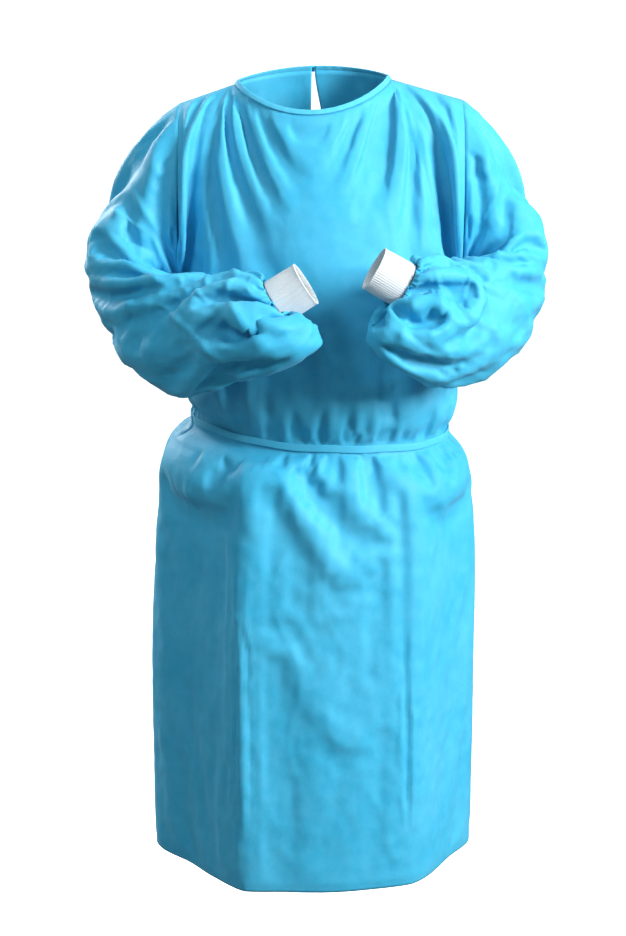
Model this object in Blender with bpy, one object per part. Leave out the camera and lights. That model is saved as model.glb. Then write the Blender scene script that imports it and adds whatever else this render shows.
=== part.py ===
"""An isolation gown of thin nonwoven cloth, worn and empty: front, two open backs, two sleeves with knit
cuffs, a bound neckline tied behind and a narrow belt.

Metres, +Z up. The wearer faces -Y and +X is the wearer's left. The origin lies midway between the two
high shoulder points, where the wearer's shoulders carry the gown. Angles round the body are in degrees
from the front, positive towards +X, so the side seams are at -90 and 90 and the centre back is at 180.
"""

import math
from collections import namedtuple

import bmesh
import bpy
import numpy as np

MM = 0.001

# Driving sizes
WALL = 1.5 * MM
SEAM_GAP = 0.3 * MM
NECK_HALF_WIDTH = 110 * MM
NECK_FRONT = 88 * MM
NECK_BACK = 72 * MM
NECK_FRONT_DROP = 48 * MM
NECK_BACK_RISE = 17 * MM
SHOULDER_LEFT = 211 * MM
SHOULDER_RIGHT = 188 * MM
SHOULDER_SLOPE = 0.31
SHOULDER_TILT = 0.030
UNDERARM = -285 * MM
ARMHOLE_DEPTH = 100 * MM
BINDING_HEIGHT = 7 * MM
BINDING_THICK = 2.6 * MM
BELT_HEIGHT = -483 * MM
BELT_WIDTH = 10 * MM
BELT_THICK = 2 * MM
OVERLAP_LIFT = 3.4 * MM
CUFF_LENGTH = 48 * MM
CUFF_LONG_RADIUS = 30 * MM
CUFF_SHORT_RADIUS = 21.5 * MM
CUFF_WALL = 2 * MM
CUFF_RIBS = 26
RIB_HEIGHT = 0.7 * MM
TAIL_WIDTH = 11 * MM
TAIL_THICK = 1.4 * MM

# Steps of the sections
FRONT_STEPS = 24
BACK_STEPS = 12
YOKE_STEPS = 8
HPS_ANGLE = 52.5
BELT_STEPS = 64
TAIL_STEPS = 14

BLUE = (0.115, 0.50, 0.80, 1.0)
PALE_BLUE = (0.20, 0.60, 0.86, 1.0)
KNIT_WHITE = (0.84, 0.87, 0.90, 1.0)

Section = namedtuple("Section", "height centre_x half_width front back front_drop side_drop")
SECTIONS = (
    Section(UNDERARM, 0.0115, 0.1995, 0.133, 0.122, 0.000, 0.000),
    Section(-0.330, 0.0125, 0.1955, 0.136, 0.122, 0.002, 0.003),
    Section(-0.380, 0.013, 0.1925, 0.139, 0.124, 0.006, 0.007),
    Section(-0.430, 0.013, 0.1925, 0.144, 0.130, 0.014, 0.010),
    Section(-0.457, 0.012, 0.1915, 0.140, 0.129, 0.020, 0.012),
    Section(-0.4755, 0.010, 0.1855, 0.126, 0.117, 0.022, 0.012),
    Section(BELT_HEIGHT, 0.010, 0.1855, 0.126, 0.117, 0.022, 0.012),
    Section(-0.4905, 0.010, 0.1855, 0.126, 0.117, 0.022, 0.012),
    Section(-0.508, 0.006, 0.2060, 0.141, 0.132, 0.021, 0.011),
    Section(-0.535, 0.004, 0.2200, 0.152, 0.143, 0.019, 0.008),
    Section(-0.575, 0.005, 0.2295, 0.161, 0.152, 0.017, 0.005),
    Section(-0.635, 0.005, 0.2370, 0.168, 0.159, 0.015, 0.002),
    Section(-0.710, 0.004, 0.2410, 0.173, 0.163, 0.014, 0.000),
    Section(-0.800, 0.002, 0.2430, 0.177, 0.166, 0.013, 0.000),
    Section(-0.900, 0.001, 0.2435, 0.179, 0.169, 0.012, 0.000),
    Section(-1.010, 0.001, 0.2430, 0.180, 0.170, 0.012, 0.000),
    Section(-1.124, 0.001, 0.2420, 0.181, 0.170, 0.012, 0.000),
)
ROW_HEIGHTS = (
    -1.124, -1.060, -0.980, -0.895, -0.810, -0.730, -0.660, -0.605, -0.565, -0.535, -0.510,
    -0.4905, BELT_HEIGHT, -0.4755, -0.457, -0.430, -0.380, -0.330, UNDERARM,
)

# Where each back edge runs: the wearer's left one and the wearer's right one, as X at a height
Edge = namedtuple("Edge", "height left right")
BACK_EDGES = (
    Edge(0.030, 0.0012, -0.0012),
    Edge(0.005, 0.0035, -0.0020),
    Edge(-0.040, 0.0120, -0.0030),
    Edge(-0.080, 0.0200, -0.0045),
    Edge(-0.130, 0.0270, -0.0090),
    Edge(-0.240, 0.0310, -0.0160),
    Edge(-0.360, 0.0190, -0.0080),
    Edge(-0.430, -0.0050, 0.0140),
    Edge(-0.485, -0.0220, 0.0300),
    Edge(-0.600, -0.0300, 0.0400),
    Edge(-0.850, -0.0380, 0.0500),
    Edge(-1.140, -0.0450, 0.0600),
)

# Folds of the body: a line from one angle and height to another, with its half-width in degrees, how
# far it stands out (or in, if negative), and how sharp its crest is, from 0, soft, to 1, pressed
Fold = namedtuple("Fold", "angle_top top angle_bottom bottom half_width height sharp")
BODY_FOLDS = (
    # pressed front crease on the wearer's right, and the flat beyond it
    Fold(-24.0, -0.500, -23.0, -1.20, 9.0, 0.0150, 0.8),
    Fold(-53.0, -0.560, -57.0, -1.20, 21.0, -0.0270, 0.0),
    # front crease on the wearer's left, and the flat beyond it
    Fold(36.0, -0.500, 35.0, -1.20, 10.0, 0.0085, 0.6),
    Fold(62.0, -0.560, 66.0, -1.20, 20.0, -0.0220, 0.0),
    # slanting folds that fan out of the belt's pinch
    Fold(-18.0, -0.505, 12.0, -0.690, 6.0, 0.0060, 0.4),
    Fold(-8.0, -0.505, 20.0, -0.640, 7.0, -0.0050, 0.0),
    Fold(-14.0, -0.740, 14.0, -0.930, 7.0, 0.0045, 0.3),
    # vertical creases between the sleeves and the belt
    Fold(-26.0, -0.330, -25.0, -0.470, 7.0, 0.0050, 0.5),
    Fold(41.0, -0.330, 38.0, -0.470, 7.0, 0.0050, 0.5),
    # folds that run from the neck over the chest
    Fold(-46.0, -0.040, -18.0, -0.300, 6.0, -0.0045, 0.3),
    Fold(-57.0, -0.060, -40.0, -0.300, 6.0, -0.0045, 0.3),
    Fold(48.0, -0.040, 38.0, -0.300, 6.0, -0.0045, 0.3),
    Fold(62.0, -0.060, 66.0, -0.260, 6.0, -0.0040, 0.3),
    # the backs
    Fold(128.0, -0.500, 132.0, -1.20, 10.0, 0.0110, 0.6),
    Fold(108.0, -0.560, 110.0, -1.20, 12.0, -0.0090, 0.0),
    Fold(-124.0, -0.500, -130.0, -1.20, 10.0, 0.0110, 0.6),
    Fold(-104.0, -0.560, -108.0, -1.20, 12.0, -0.0090, 0.0),
    Fold(120.0, -0.060, 140.0, -0.380, 8.0, -0.0050, 0.2),
    Fold(-118.0, -0.060, -142.0, -0.380, 8.0, -0.0050, 0.2),
)
FOLD_FADE = 35 * MM

# Stations down each arm: the point on the elbow's side, the point in the crook, how far the sleeve
# reaches from between them to the side that faces the body and to the side that faces away, and how
# far its elbow's side runs ahead along the arm, where the gathered end bags over the cuff
Station = namedtuple("Station", "elbow_x elbow_y elbow_z crook_x crook_y crook_z near away ahead")
LEFT_ARM = (
    Station(0.2110, 0.000, -0.0265, 0.2110, 0.000, -0.285, 0.070, 0.070, 0.000),
    Station(0.2440, 0.010, -0.057, 0.2260, -0.003, -0.284, 0.072, 0.074, 0.000),
    Station(0.2730, 0.018, -0.104, 0.2380, -0.013, -0.281, 0.070, 0.074, 0.000),
    Station(0.2960, 0.022, -0.154, 0.2420, -0.032, -0.275, 0.064, 0.073, 0.000),
    Station(0.3080, 0.018, -0.202, 0.2370, -0.056, -0.266, 0.056, 0.071, 0.000),
    Station(0.3090, 0.006, -0.249, 0.2230, -0.078, -0.257, 0.050, 0.069, 0.000),
    Station(0.3060, -0.014, -0.299, 0.2070, -0.097, -0.250, 0.046, 0.067, 0.000),
    Station(0.2970, -0.048, -0.346, 0.1910, -0.115, -0.247, 0.044, 0.066, 0.000),
    Station(0.2640, -0.100, -0.379, 0.1770, -0.132, -0.246, 0.044, 0.065, 0.000),
    Station(0.2180, -0.150, -0.397, 0.1640, -0.152, -0.245, 0.044, 0.062, 0.006),
    Station(0.1730, -0.190, -0.389, 0.1520, -0.173, -0.243, 0.043, 0.056, 0.030),
    Station(0.1360, -0.214, -0.352, 0.1440, -0.192, -0.239, 0.037, 0.045, 0.060),
    Station(0.1050, -0.2095, -0.3024, 0.1382, -0.2065, -0.2440, 0.0250, 0.0250, 0.000),
)
RIGHT_ARM = (
    Station(-0.1880, 0.000, -0.0300, -0.1880, 0.000, -0.285, 0.070, 0.070, 0.000),
    Station(-0.2250, 0.010, -0.065, -0.2030, -0.003, -0.2865, 0.072, 0.074, 0.000),
    Station(-0.2590, 0.018, -0.112, -0.2160, -0.013, -0.2870, 0.070, 0.074, 0.000),
    Station(-0.2860, 0.022, -0.163, -0.2210, -0.032, -0.2865, 0.064, 0.073, 0.000),
    Station(-0.3040, 0.018, -0.212, -0.2170, -0.056, -0.2850, 0.056, 0.071, 0.000),
    Station(-0.3080, 0.006, -0.260, -0.2030, -0.078, -0.283, 0.050, 0.069, 0.000),
    Station(-0.2980, -0.014, -0.308, -0.1830, -0.098, -0.280, 0.045, 0.067, 0.000),
    Station(-0.2810, -0.047, -0.354, -0.1580, -0.117, -0.277, 0.041, 0.066, 0.000),
    Station(-0.2430, -0.092, -0.393, -0.1350, -0.136, -0.272, 0.040, 0.065, 0.000),
    Station(-0.1880, -0.134, -0.411, -0.1120, -0.158, -0.264, 0.040, 0.063, 0.010),
    Station(-0.1330, -0.172, -0.377, -0.0930, -0.178, -0.258, 0.040, 0.059, 0.042),
    Station(-0.0820, -0.204, -0.346, -0.0790, -0.193, -0.255, 0.036, 0.048, 0.085),
    Station(-0.0318, -0.205, -0.3237, -0.0672, -0.203, -0.2669, 0.0250, 0.0250, 0.000),
)
ARMHOLE_BLEND = 0.35
CROOK_ROUNDS = 30
SIDE_CLEARANCE = 3.0 * MM
RING_SHARES = np.concatenate(
    [np.linspace(0, 0.28, 6), np.linspace(0.28, 0.66, 13)[1:], np.linspace(0.66, 0.8, 4)[1:], np.linspace(0.8, 1, 9)[1:]]
)
GATHERS = 9
GATHER_START = 0.78
GATHER_HEIGHT = 3.0 * MM

# Folds of a sleeve: a line round the arm, from where it leaves the crook to where it ends on the
# elbow's side, as shares of the sleeve's length, and on the near side, the away side or both
SleeveFold = namedtuple("SleeveFold", "at_crook at_elbow half_width height side")
SLEEVE_FOLDS = (
    SleeveFold(0.36, 0.20, 0.040, -0.0060, -1),
    SleeveFold(0.41, 0.30, 0.035, 0.0060, -1),
    SleeveFold(0.45, 0.40, 0.035, -0.0060, -1),
    SleeveFold(0.49, 0.50, 0.035, 0.0060, -1),
    SleeveFold(0.53, 0.60, 0.035, -0.0060, -1),
    SleeveFold(0.66, 0.74, 0.035, 0.0050, -1),
    SleeveFold(0.38, 0.25, 0.040, -0.0050, 1),
    SleeveFold(0.45, 0.38, 0.040, 0.0060, 1),
    SleeveFold(0.52, 0.56, 0.040, -0.0050, 1),
)


def smoothstep(x):
    x = np.clip(x, 0.0, 1.0)
    return x * x * (3 - 2 * x)


def unit(v):
    return v / np.maximum(np.linalg.norm(v, axis=-1, keepdims=True), 1e-12)


def monotone(keys, values, at):
    """A smooth curve through the values that never swings past them."""
    order = np.argsort(keys)
    k, v = np.asarray(keys, float)[order], np.asarray(values, float)[order]
    step, slope = np.diff(k), np.diff(v) / np.diff(k)
    tangent = np.concatenate([[slope[0]], (slope[:-1] + slope[1:]) / 2, [slope[-1]]])
    tangent[1:-1][slope[:-1] * slope[1:] <= 0] = 0.0
    limit = 3 * np.minimum(np.abs(np.append(slope, slope[-1])), np.abs(np.insert(slope, 0, slope[0])))
    tangent = np.clip(tangent, -limit, limit)
    at = np.clip(at, k[0], k[-1])
    i = np.clip(np.searchsorted(k, at, side="right") - 1, 0, len(step) - 1)
    t = (at - k[i]) / step[i]
    start = v[i] * (1 + 2 * t) * (1 - t) ** 2 + tangent[i] * step[i] * t * (1 - t) ** 2
    return start + v[i + 1] * t * t * (3 - 2 * t) + tangent[i + 1] * step[i] * t * t * (t - 1)


def section_at(height, column):
    return monotone([s.height for s in SECTIONS], [getattr(s, column) for s in SECTIONS], height)


def edge_at(height, side):
    return monotone([e.height for e in BACK_EDGES], [getattr(e, side) for e in BACK_EDGES], height)


def body_point(angle, height):
    """The unfolded body at an angle and a level, below the underarms."""
    a = np.radians(angle)
    depth = np.where(np.cos(a) > 0, section_at(height, "front"), section_at(height, "back"))
    x = section_at(height, "centre_x") + section_at(height, "half_width") * np.sin(a)
    z = height - section_at(height, "front_drop") * np.cos(a) - section_at(height, "side_drop") * np.sin(a)
    return np.stack([x, -depth * np.cos(a), z], -1)


def top_edge(angle):
    """The neckline, then the shoulder seam, at an angle round the body."""
    size, side = np.abs(angle), np.sign(angle)
    from_middle = np.where(size <= 90, size, 180 - size)
    in_neck = from_middle <= HPS_ANGLE
    turn = np.radians(90 * np.clip(from_middle / HPS_ANGLE, 0, 1))
    along = np.clip((from_middle - HPS_ANGLE) / (90 - HPS_ANGLE), 0, 1)
    depth = np.where(size <= 90, -NECK_FRONT, NECK_BACK)
    rise = np.where(size <= 90, -NECK_FRONT_DROP, NECK_BACK_RISE)
    length = np.where(angle > 0, SHOULDER_LEFT, SHOULDER_RIGHT) - NECK_HALF_WIDTH
    x = side * np.where(in_neck, NECK_HALF_WIDTH * np.sin(turn), NECK_HALF_WIDTH + along * length)
    y = np.where(in_neck, depth * np.cos(turn), 0.0)
    z = np.where(in_neck, rise * np.cos(turn) ** 1.6, -SHOULDER_SLOPE * length * along)
    return np.stack([x, y, z + SHOULDER_TILT * x], -1)


def yoke_point(angle, share, behind):
    """The unfolded body above the underarms: share 0 is the underarm's level and 1 the top edge."""
    size, side = np.abs(angle), np.sign(angle)
    forward = 1.0 if behind else -1.0
    from_middle = 180 - size if behind else size
    foot, head = body_point(angle, np.full_like(angle, UNDERARM)), top_edge(angle)
    to_armhole = smoothstep((from_middle - 62) / 28)
    up = np.stack([0 * angle, forward * to_armhole, 1 - to_armhole], -1)
    over_shoulder = smoothstep((from_middle - 0.45 * HPS_ANGLE) / (0.75 * HPS_ANGLE))
    lean = np.stack(
        [
            -side * 0.35 * over_shoulder * (1 - to_armhole),
            -forward * (0.25 + 0.75 * over_shoulder),
            0.95 - 0.75 * over_shoulder,
        ],
        -1,
    )
    start = foot + unit(up) * ARMHOLE_DEPTH
    end = head - unit(lean) * ARMHOLE_DEPTH
    s = np.asarray(share)[..., None]
    return foot * (1 - s) ** 3 + 3 * start * s * (1 - s) ** 2 + 3 * end * s * s * (1 - s) + head * s**3


def fold_offset(angle, height, folds=BODY_FOLDS):
    """How far the folds lift the cloth at an angle and a height."""
    total = np.zeros(np.broadcast(angle, height).shape)
    for f in folds:
        along = (f.top - height) / (f.top - f.bottom)
        centre = f.angle_top + (f.angle_bottom - f.angle_top) * along
        off = np.abs((angle - centre + 180) % 360 - 180) / f.half_width
        crest = f.sharp * np.clip(1 - off / 1.7, 0, 1) ** 1.5 + (1 - f.sharp) * np.exp(-off * off)
        ends = smoothstep((f.top - height) / FOLD_FADE) * smoothstep((height - f.bottom) / FOLD_FADE)
        total = total + f.height * crest * ends
    return total


def grid_normals(grid, around=False):
    """Unit normals of a grid of points, rows by columns."""
    down = np.gradient(grid, axis=0)
    if around:
        across = (np.roll(grid, -1, axis=1) - np.roll(grid, 1, axis=1)) / 2
    else:
        across = np.gradient(grid, axis=1)
    return unit(np.cross(across, down))


def body_grid(angles_of_row, behind):
    """Rows of unfolded body points from the hem to the top edge, and each point's angle."""
    rows, angles = [], []
    for height in ROW_HEIGHTS:
        a = angles_of_row(height)
        rows.append(body_point(a, np.full_like(a, height)))
        angles.append(a)
    for share in np.arange(1, YOKE_STEPS + 1) / YOKE_STEPS:
        a = angles_of_row(UNDERARM)
        rows.append(yoke_point(a, np.full_like(a, share), behind))
        angles.append(a)
    return np.array(rows), np.array(angles)


def levels(grid):
    """The level each point of a body grid was made at, which its folds are placed by."""
    heights = grid[..., 2].copy()
    heights[: len(ROW_HEIGHTS)] = np.array(ROW_HEIGHTS)[:, None]
    return heights


def front_grid():
    return body_grid(lambda height: np.linspace(-90, 90, FRONT_STEPS + 1), False)


def back_grid(name):
    """A back, from its side seam to its free edge, which runs where the table of edges says."""
    side = 1 if name == "left" else -1

    def angles_of_row(height):
        reach = (edge_at(height, name) - section_at(height, "centre_x")) / section_at(height, "half_width")
        end = 180 - side * math.degrees(math.asin(reach))
        return side * np.linspace(90, end, BACK_STEPS + 1)

    grid, angles = body_grid(angles_of_row, True)
    yoke = slice(len(ROW_HEIGHTS), None)
    # above the underarms the columns keep their places at the top, and the edge moves to its own
    even = side * np.linspace(90, 180, BACK_STEPS + 1)
    for row in range(len(ROW_HEIGHTS), len(grid)):
        share = (row - len(ROW_HEIGHTS) + 1) / YOKE_STEPS
        blend = angles[row] + (even - angles[row]) * share
        grid[row] = yoke_point(blend, np.full_like(blend, share), True)
        angles[row] = blend
    shift = edge_at(grid[yoke, -1, 2], name) - grid[yoke, -1, 0]
    weight = smoothstep((np.arange(BACK_STEPS + 1) / BACK_STEPS - 0.45) / 0.55)
    grid[yoke, :, 0] += shift[:, None] * weight
    return grid, angles


def lift_of_overlap(angle, height):
    """How far the wearer's left back stands off, where it lies over the right one."""
    near_middle = smoothstep((np.abs(angle) - 142) / 24)
    below = smoothstep((-0.320 - height) / 0.05)
    return OVERLAP_LIFT * near_middle * below


def shared(a, b):
    """The mean of two seams' normals, for both of them."""
    return unit(a + b)


def panel_surfaces():
    """The outer points and the normals of the front and both backs, which agree along their seams."""
    front, front_angles = front_grid()
    left, left_angles = back_grid("left")
    right, right_angles = back_grid("right")
    panels = {"front": front, "left": left, "right": right}
    angles = {"front": front_angles, "left": left_angles, "right": right_angles}
    shoulder = int(round((90 - HPS_ANGLE) / (90 / BACK_STEPS)))
    underarm = len(ROW_HEIGHTS)

    def joined_normals():
        found = {
            "front": grid_normals(panels["front"]),
            "left": grid_normals(panels["left"]),
            "right": -grid_normals(panels["right"]),
        }
        for name, edge in (("left", -1), ("right", 0)):
            side = shared(found["front"][:underarm, edge], found[name][:underarm, 0])
            found["front"][:underarm, edge] = side
            found[name][:underarm, 0] = side
            ends = slice(-1 - shoulder, None) if name == "left" else slice(0, shoulder + 1)
            seam = found["front"][-1, ends]
            seam = seam[::-1] if name == "left" else seam
            seam = shared(seam, found[name][-1, : shoulder + 1])
            found[name][-1, : shoulder + 1] = seam
            found["front"][-1, ends] = seam[::-1] if name == "left" else seam
        return found

    normals = joined_normals()
    for name, grid in panels.items():
        lift = fold_offset(angles[name], levels(grid))
        if name == "left":
            lift = lift + lift_of_overlap(angles[name], levels(grid))
        panels[name] = grid + normals[name] * lift[..., None]
    return panels, joined_normals()


def inset_edges(grid, rows=(0, 0), columns=(0, 0)):
    """The grid with its edge rows and columns drawn in along the cloth by the given lengths."""
    g = grid.copy()
    for (start, end), axis in ((rows, 0), (columns, 1)):
        h = np.moveaxis(g, axis, 0)
        if start:
            h[0] = h[0] + unit(h[1] - h[0]) * start
        if end:
            h[-1] = h[-1] + unit(h[-2] - h[-1]) * end
    return g


def material(name, colour, roughness):
    m = bpy.data.materials.new(name)
    m.use_nodes = True
    shader = m.node_tree.nodes["Principled BSDF"]
    shader.inputs["Base Color"].default_value = colour
    shader.inputs["Roughness"].default_value = roughness
    shader.inputs["Metallic"].default_value = 0.0
    return m


def add_object(name, bm, finish):
    bmesh.ops.recalc_face_normals(bm, faces=bm.faces)
    mesh = bpy.data.meshes.new(name)
    bm.to_mesh(mesh)
    bm.free()
    mesh.shade_smooth()
    mesh.set_sharp_from_angle(angle=math.radians(50))
    mesh.materials.append(finish)
    made = bpy.data.objects.new(name, mesh)
    bpy.context.scene.collection.objects.link(made)
    return made


def bridge_rings(bm, rings, closed):
    """Quads between each ring and the next, where a ring is a row of vertices."""
    for lower, upper in zip(rings, rings[1:]):
        count = len(lower) if closed else len(lower) - 1
        for i in range(count):
            j = (i + 1) % len(lower)
            bm.faces.new((lower[i], lower[j], upper[j], upper[i]))


def cloth_wall(name, outer, inner, finish, around=False):
    """A wall between two grids of points: a panel, or a tube where its columns run around."""
    bm = bmesh.new()
    skins = [[[bm.verts.new(p) for p in row] for row in grid] for grid in (outer, inner)]
    for skin in skins:
        bridge_rings(bm, skin, around)
    for row in (0, -1):
        bridge_rings(bm, [skins[0][row], skins[1][row]], around)
    if not around:
        for column in (0, -1):
            bridge_rings(bm, [[r[column] for r in skin] for skin in skins], False)
    return add_object(name, bm, finish)


def strip(name, path, normals, across, width, thick, finish, closed=False):
    """A soft flat strip along a path, six-sided, with its width along `across`."""
    turns = ((-0.5, 0.0), (-0.32, 0.5), (0.32, 0.5), (0.5, 0.0), (0.32, -0.5), (-0.32, -0.5))
    bm = bmesh.new()
    rings = []
    for p, n, w in zip(path, normals, across):
        rings.append([bm.verts.new(p + w * u * width + n * v * thick) for u, v in turns])
    bridge_rings(bm, rings + rings[:1] if closed else rings, True)
    if not closed:
        bm.faces.new(rings[0])
        bm.faces.new(rings[-1])
    return add_object(name, bm, finish)


def build_panels(panels, normals, finish):
    half = SEAM_GAP / 2
    for name, grid in panels.items():
        label = "front" if name == "front" else f"back_{name}"
        columns = (half, half) if name == "front" else (half, 0)
        outer = inset_edges(grid, (0, half), columns)
        inner = inset_edges(grid - normals[name] * WALL, (0, half), columns)
        cloth_wall(label, outer, inner, finish)


def armhole_rows(grids, side):
    """The front's and the back's values along an armhole, each from the underarm up."""
    first = len(ROW_HEIGHTS) - 1
    column = -1 if side > 0 else 0
    return grids["front"][first:, column], grids["left" if side > 0 else "right"][first:, 0]


def armhole_loop(grids, side):
    """The same values as one loop: down the front from the shoulder, and up the back, twice as fine."""
    front, back = armhole_rows(grids, side)
    loop = np.concatenate([front[::-1][:-1], back[:-1]])
    between = (loop + np.roll(loop, -1, axis=0)) / 2
    return np.stack([loop, between], 1).reshape(-1, 3)


def smooth_path(rows, share):
    """A smooth curve through evenly spaced rows of values (Catmull-Rom)."""
    values = np.array(rows, float)
    padded = np.vstack([2 * values[0] - values[1], values, 2 * values[-1] - values[-2]])
    at = np.clip(share, 0, 1) * (len(values) - 1)
    i = np.clip(np.floor(at).astype(int), 0, len(values) - 2)
    t = (at - i)[:, None]
    a, b, c, d = (padded[i + k] for k in range(4))
    return 0.5 * (2 * b + (c - a) * t + (2 * a - 5 * b + 4 * c - d) * t**2 + (3 * b - a - 3 * c + d) * t**3)


def arm_frames(stations, side):
    """Down an arm: the centres, the half-heights, the other columns, and the three axes of each ring."""
    table = smooth_path(stations, RING_SHARES)
    elbow, crook = table[:, :3], table[:, 3:6]
    centres = (elbow + crook) / 2
    outward = unit(elbow - crook)
    along = np.gradient(centres, RING_SHARES, axis=0)
    along[0] = (side, 0, 0)
    along = unit(along - outward * (along * outward).sum(axis=1, keepdims=True))
    near = side * np.cross(outward, along)
    return centres, np.linalg.norm(elbow - crook, axis=1) / 2, table[:, 6:], along, outward, near


def sleeve_offset(share, turn):
    """How far a sleeve's folds and gathers lift it at a share of its length and a turn round it."""
    to_crook = (1 - np.cos(turn)) / 2
    facing = np.where(np.sin(turn) > 0, 1, -1)
    total = np.zeros(np.broadcast(share, turn).shape)
    for f in SLEEVE_FOLDS:
        line = f.at_elbow + (f.at_crook - f.at_elbow) * to_crook
        crest = np.exp(-(((share - line) / f.half_width) ** 2))
        total = total + f.height * crest * smoothstep(1.1 * np.abs(np.sin(turn))) * (facing == f.side)
    gather = smoothstep((share - GATHER_START) / (1 - GATHER_START))
    sewn = 1 - smoothstep((share - 0.93) / 0.07)
    return total * (1 - gather) + GATHER_HEIGHT * gather * sewn * np.cos(GATHERS * turn)


def sleeve_surface(panels, stations, side):
    """The outer points and the normals of a sleeve, from the armhole to the cuff, and its end's axes."""
    loop = armhole_loop(panels, side)
    centres, height, columns, along, outward, near = arm_frames(stations, side)
    from_centre = loop - centres[0]
    up, back = from_centre @ outward[0] / height[0], from_centre @ near[0] / columns[0, 0]
    first_turn = np.unwrap(np.arctan2(back, up))
    count = len(loop)
    direction = np.sign(first_turn[1] - first_turn[0])
    even_turn = first_turn.mean() + direction * 2 * math.pi * (np.arange(count) - (count - 1) / 2) / count
    rings, turns = [], []
    for k, s in enumerate(RING_SHARES):
        blend = smoothstep(s / ARMHOLE_BLEND)
        turn = first_turn + (even_turn - first_turn) * blend
        near_reach, away_reach, ahead = columns[k]
        u = up + (np.cos(turn) - up) * blend
        v = back + (np.sin(turn) - back) * blend
        wide = v * np.where(v > 0, near_reach, away_reach)
        ring = centres[k] + (u * height[k])[:, None] * outward[k] + wide[:, None] * near[k]
        rings.append(ring + (ahead * np.clip(np.cos(turn), 0, 1) ** 1.3)[:, None] * along[k])
        turns.append(turn)
    grid, turns = np.array(rings), np.array(turns)
    # the cloth spans the crook instead of turning sharply in it, and stays outside the body's side
    slack = smoothstep((0.45 - np.cos(turns[1:-1, :, None])) / 0.9) / 2
    outside = side * loop[:, 0] + SIDE_CLEARANCE * np.minimum(np.arange(1, len(grid) - 1), 4)[:, None]
    for _ in range(CROOK_ROUNDS):
        grid[1:-1] += slack * ((grid[:-2] + grid[2:]) / 2 - grid[1:-1])
        in_front = np.clip((-0.05 - grid[1:-1, :, 1]) / 0.15, 0, 1)
        grid[1:-1, :, 0] = side * np.maximum(side * grid[1:-1, :, 0], outside - 0.35 * in_front)
    facing = grid_normals(grid, around=True)
    outwards = np.sign(((grid - grid.mean(axis=1, keepdims=True)) * facing)[3:-8].sum())
    lift = sleeve_offset(RING_SHARES[:, None], turns) * (RING_SHARES[:, None] > 0)
    grid = grid + outwards * facing * lift[..., None]
    return grid, outwards * grid_normals(grid, around=True), along[-1], outward[-1], near[-1]


def mitre_armhole(normals, sleeve_normals, side):
    """Lets the body's wall and the sleeve's wall end on one shared plane along the armhole."""
    body = armhole_loop(normals, side)
    shared_line = unit(unit(body) + sleeve_normals[0])
    stretch = 1 / np.maximum((shared_line * unit(body)).sum(axis=1, keepdims=True), 0.8)
    mitred = shared_line * stretch
    mitred = (2 * mitred + np.roll(mitred, 2, axis=0) + np.roll(mitred, -2, axis=0)) / 4
    mitred[1::2] = (mitred[0::2] + np.roll(mitred[0::2], -1, axis=0)) / 2
    sleeve_normals[0] = mitred
    steps = len(mitred) // 4
    front, back = armhole_rows(normals, side)
    front[:] = mitred[0 : 2 * steps + 1 : 2][::-1]
    back[:-1] = mitred[2 * steps :: 2]
    back[-1] = mitred[0]


def build_sleeve(name, surface, finish):
    grid, n = surface[0].copy(), surface[1]
    grid[0] = grid[0] + unit(grid[1] - grid[0]) * SEAM_GAP
    cloth_wall(name, grid, grid - n * WALL, finish, around=True)


def build_cuff(name, surface, stations, finish):
    """A ribbed knit tube that goes on from the sleeve's gathered end."""
    along, outward, near = surface[2:]
    last = np.array(stations[-1])
    centre = (last[0:3] + last[3:6]) / 2
    count = 2 * CUFF_RIBS
    turn = 2 * math.pi * np.arange(count) / count
    rib = RIB_HEIGHT * (np.arange(count) % 2)
    outer, inner = [], []
    for s, ease in ((0.0, 0.4), (0.12, -0.2), (0.88, 0.0), (1.0, -0.3)):
        place = centre + along * (SEAM_GAP + s * CUFF_LENGTH)
        for skin, r in ((outer, rib), (inner, -CUFF_WALL + 0 * rib)):
            ring = np.cos(turn)[:, None] * (CUFF_LONG_RADIUS + ease * MM + r)[:, None] * outward
            ring = ring + np.sin(turn)[:, None] * (CUFF_SHORT_RADIUS + ease * MM + r)[:, None] * near
            skin.append(place + ring)
    cloth_wall(name, np.array(outer), np.array(inner), finish, around=True)


def build_binding(panels, finish):
    """The folded strip that stands on the neckline, open at the centre back."""
    in_neck = int(round(HPS_ANGLE / (90 / BACK_STEPS)))
    middle = FRONT_STEPS // 2
    path = np.concatenate(
        [
            panels["right"][-1, -1 - in_neck :][::-1],
            panels["front"][-1, middle - in_neck + 1 : middle + in_neck],
            panels["left"][-1, -1 - in_neck :],
        ]
    )
    turn = np.linspace(-math.pi, math.pi, len(path))
    up = unit(np.stack([-0.75 * np.sin(turn), 0.35 * np.cos(turn), 0.8 + 0 * turn], -1))
    tangent = unit(np.gradient(path, axis=0))
    out = unit(np.cross(tangent, up))
    path = path + up * (SEAM_GAP + BINDING_HEIGHT / 2) - out * WALL / 2
    return strip("neck_binding", path, out, up, BINDING_HEIGHT, BINDING_THICK, finish)


def belt_path(angle):
    """The belt's line, just outside the cloth and over the step of the overlapping back."""
    base = body_point(angle, np.full_like(angle, BELT_HEIGHT))
    a = np.radians(angle)
    depth = np.where(np.cos(a) > 0, section_at(BELT_HEIGHT, "front"), section_at(BELT_HEIGHT, "back"))
    wide = section_at(BELT_HEIGHT, "half_width")
    out = unit(np.stack([np.sin(a) / wide, -np.cos(a) / depth, 0 * a], -1))
    signed = (angle + 360) % 360
    step = smoothstep((signed - 138) / 24) * smoothstep((214 - signed) / 20) * OVERLAP_LIFT
    return base + out * (SEAM_GAP + 0.5 * MM + BELT_THICK / 2 + step)[:, None], out


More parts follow.
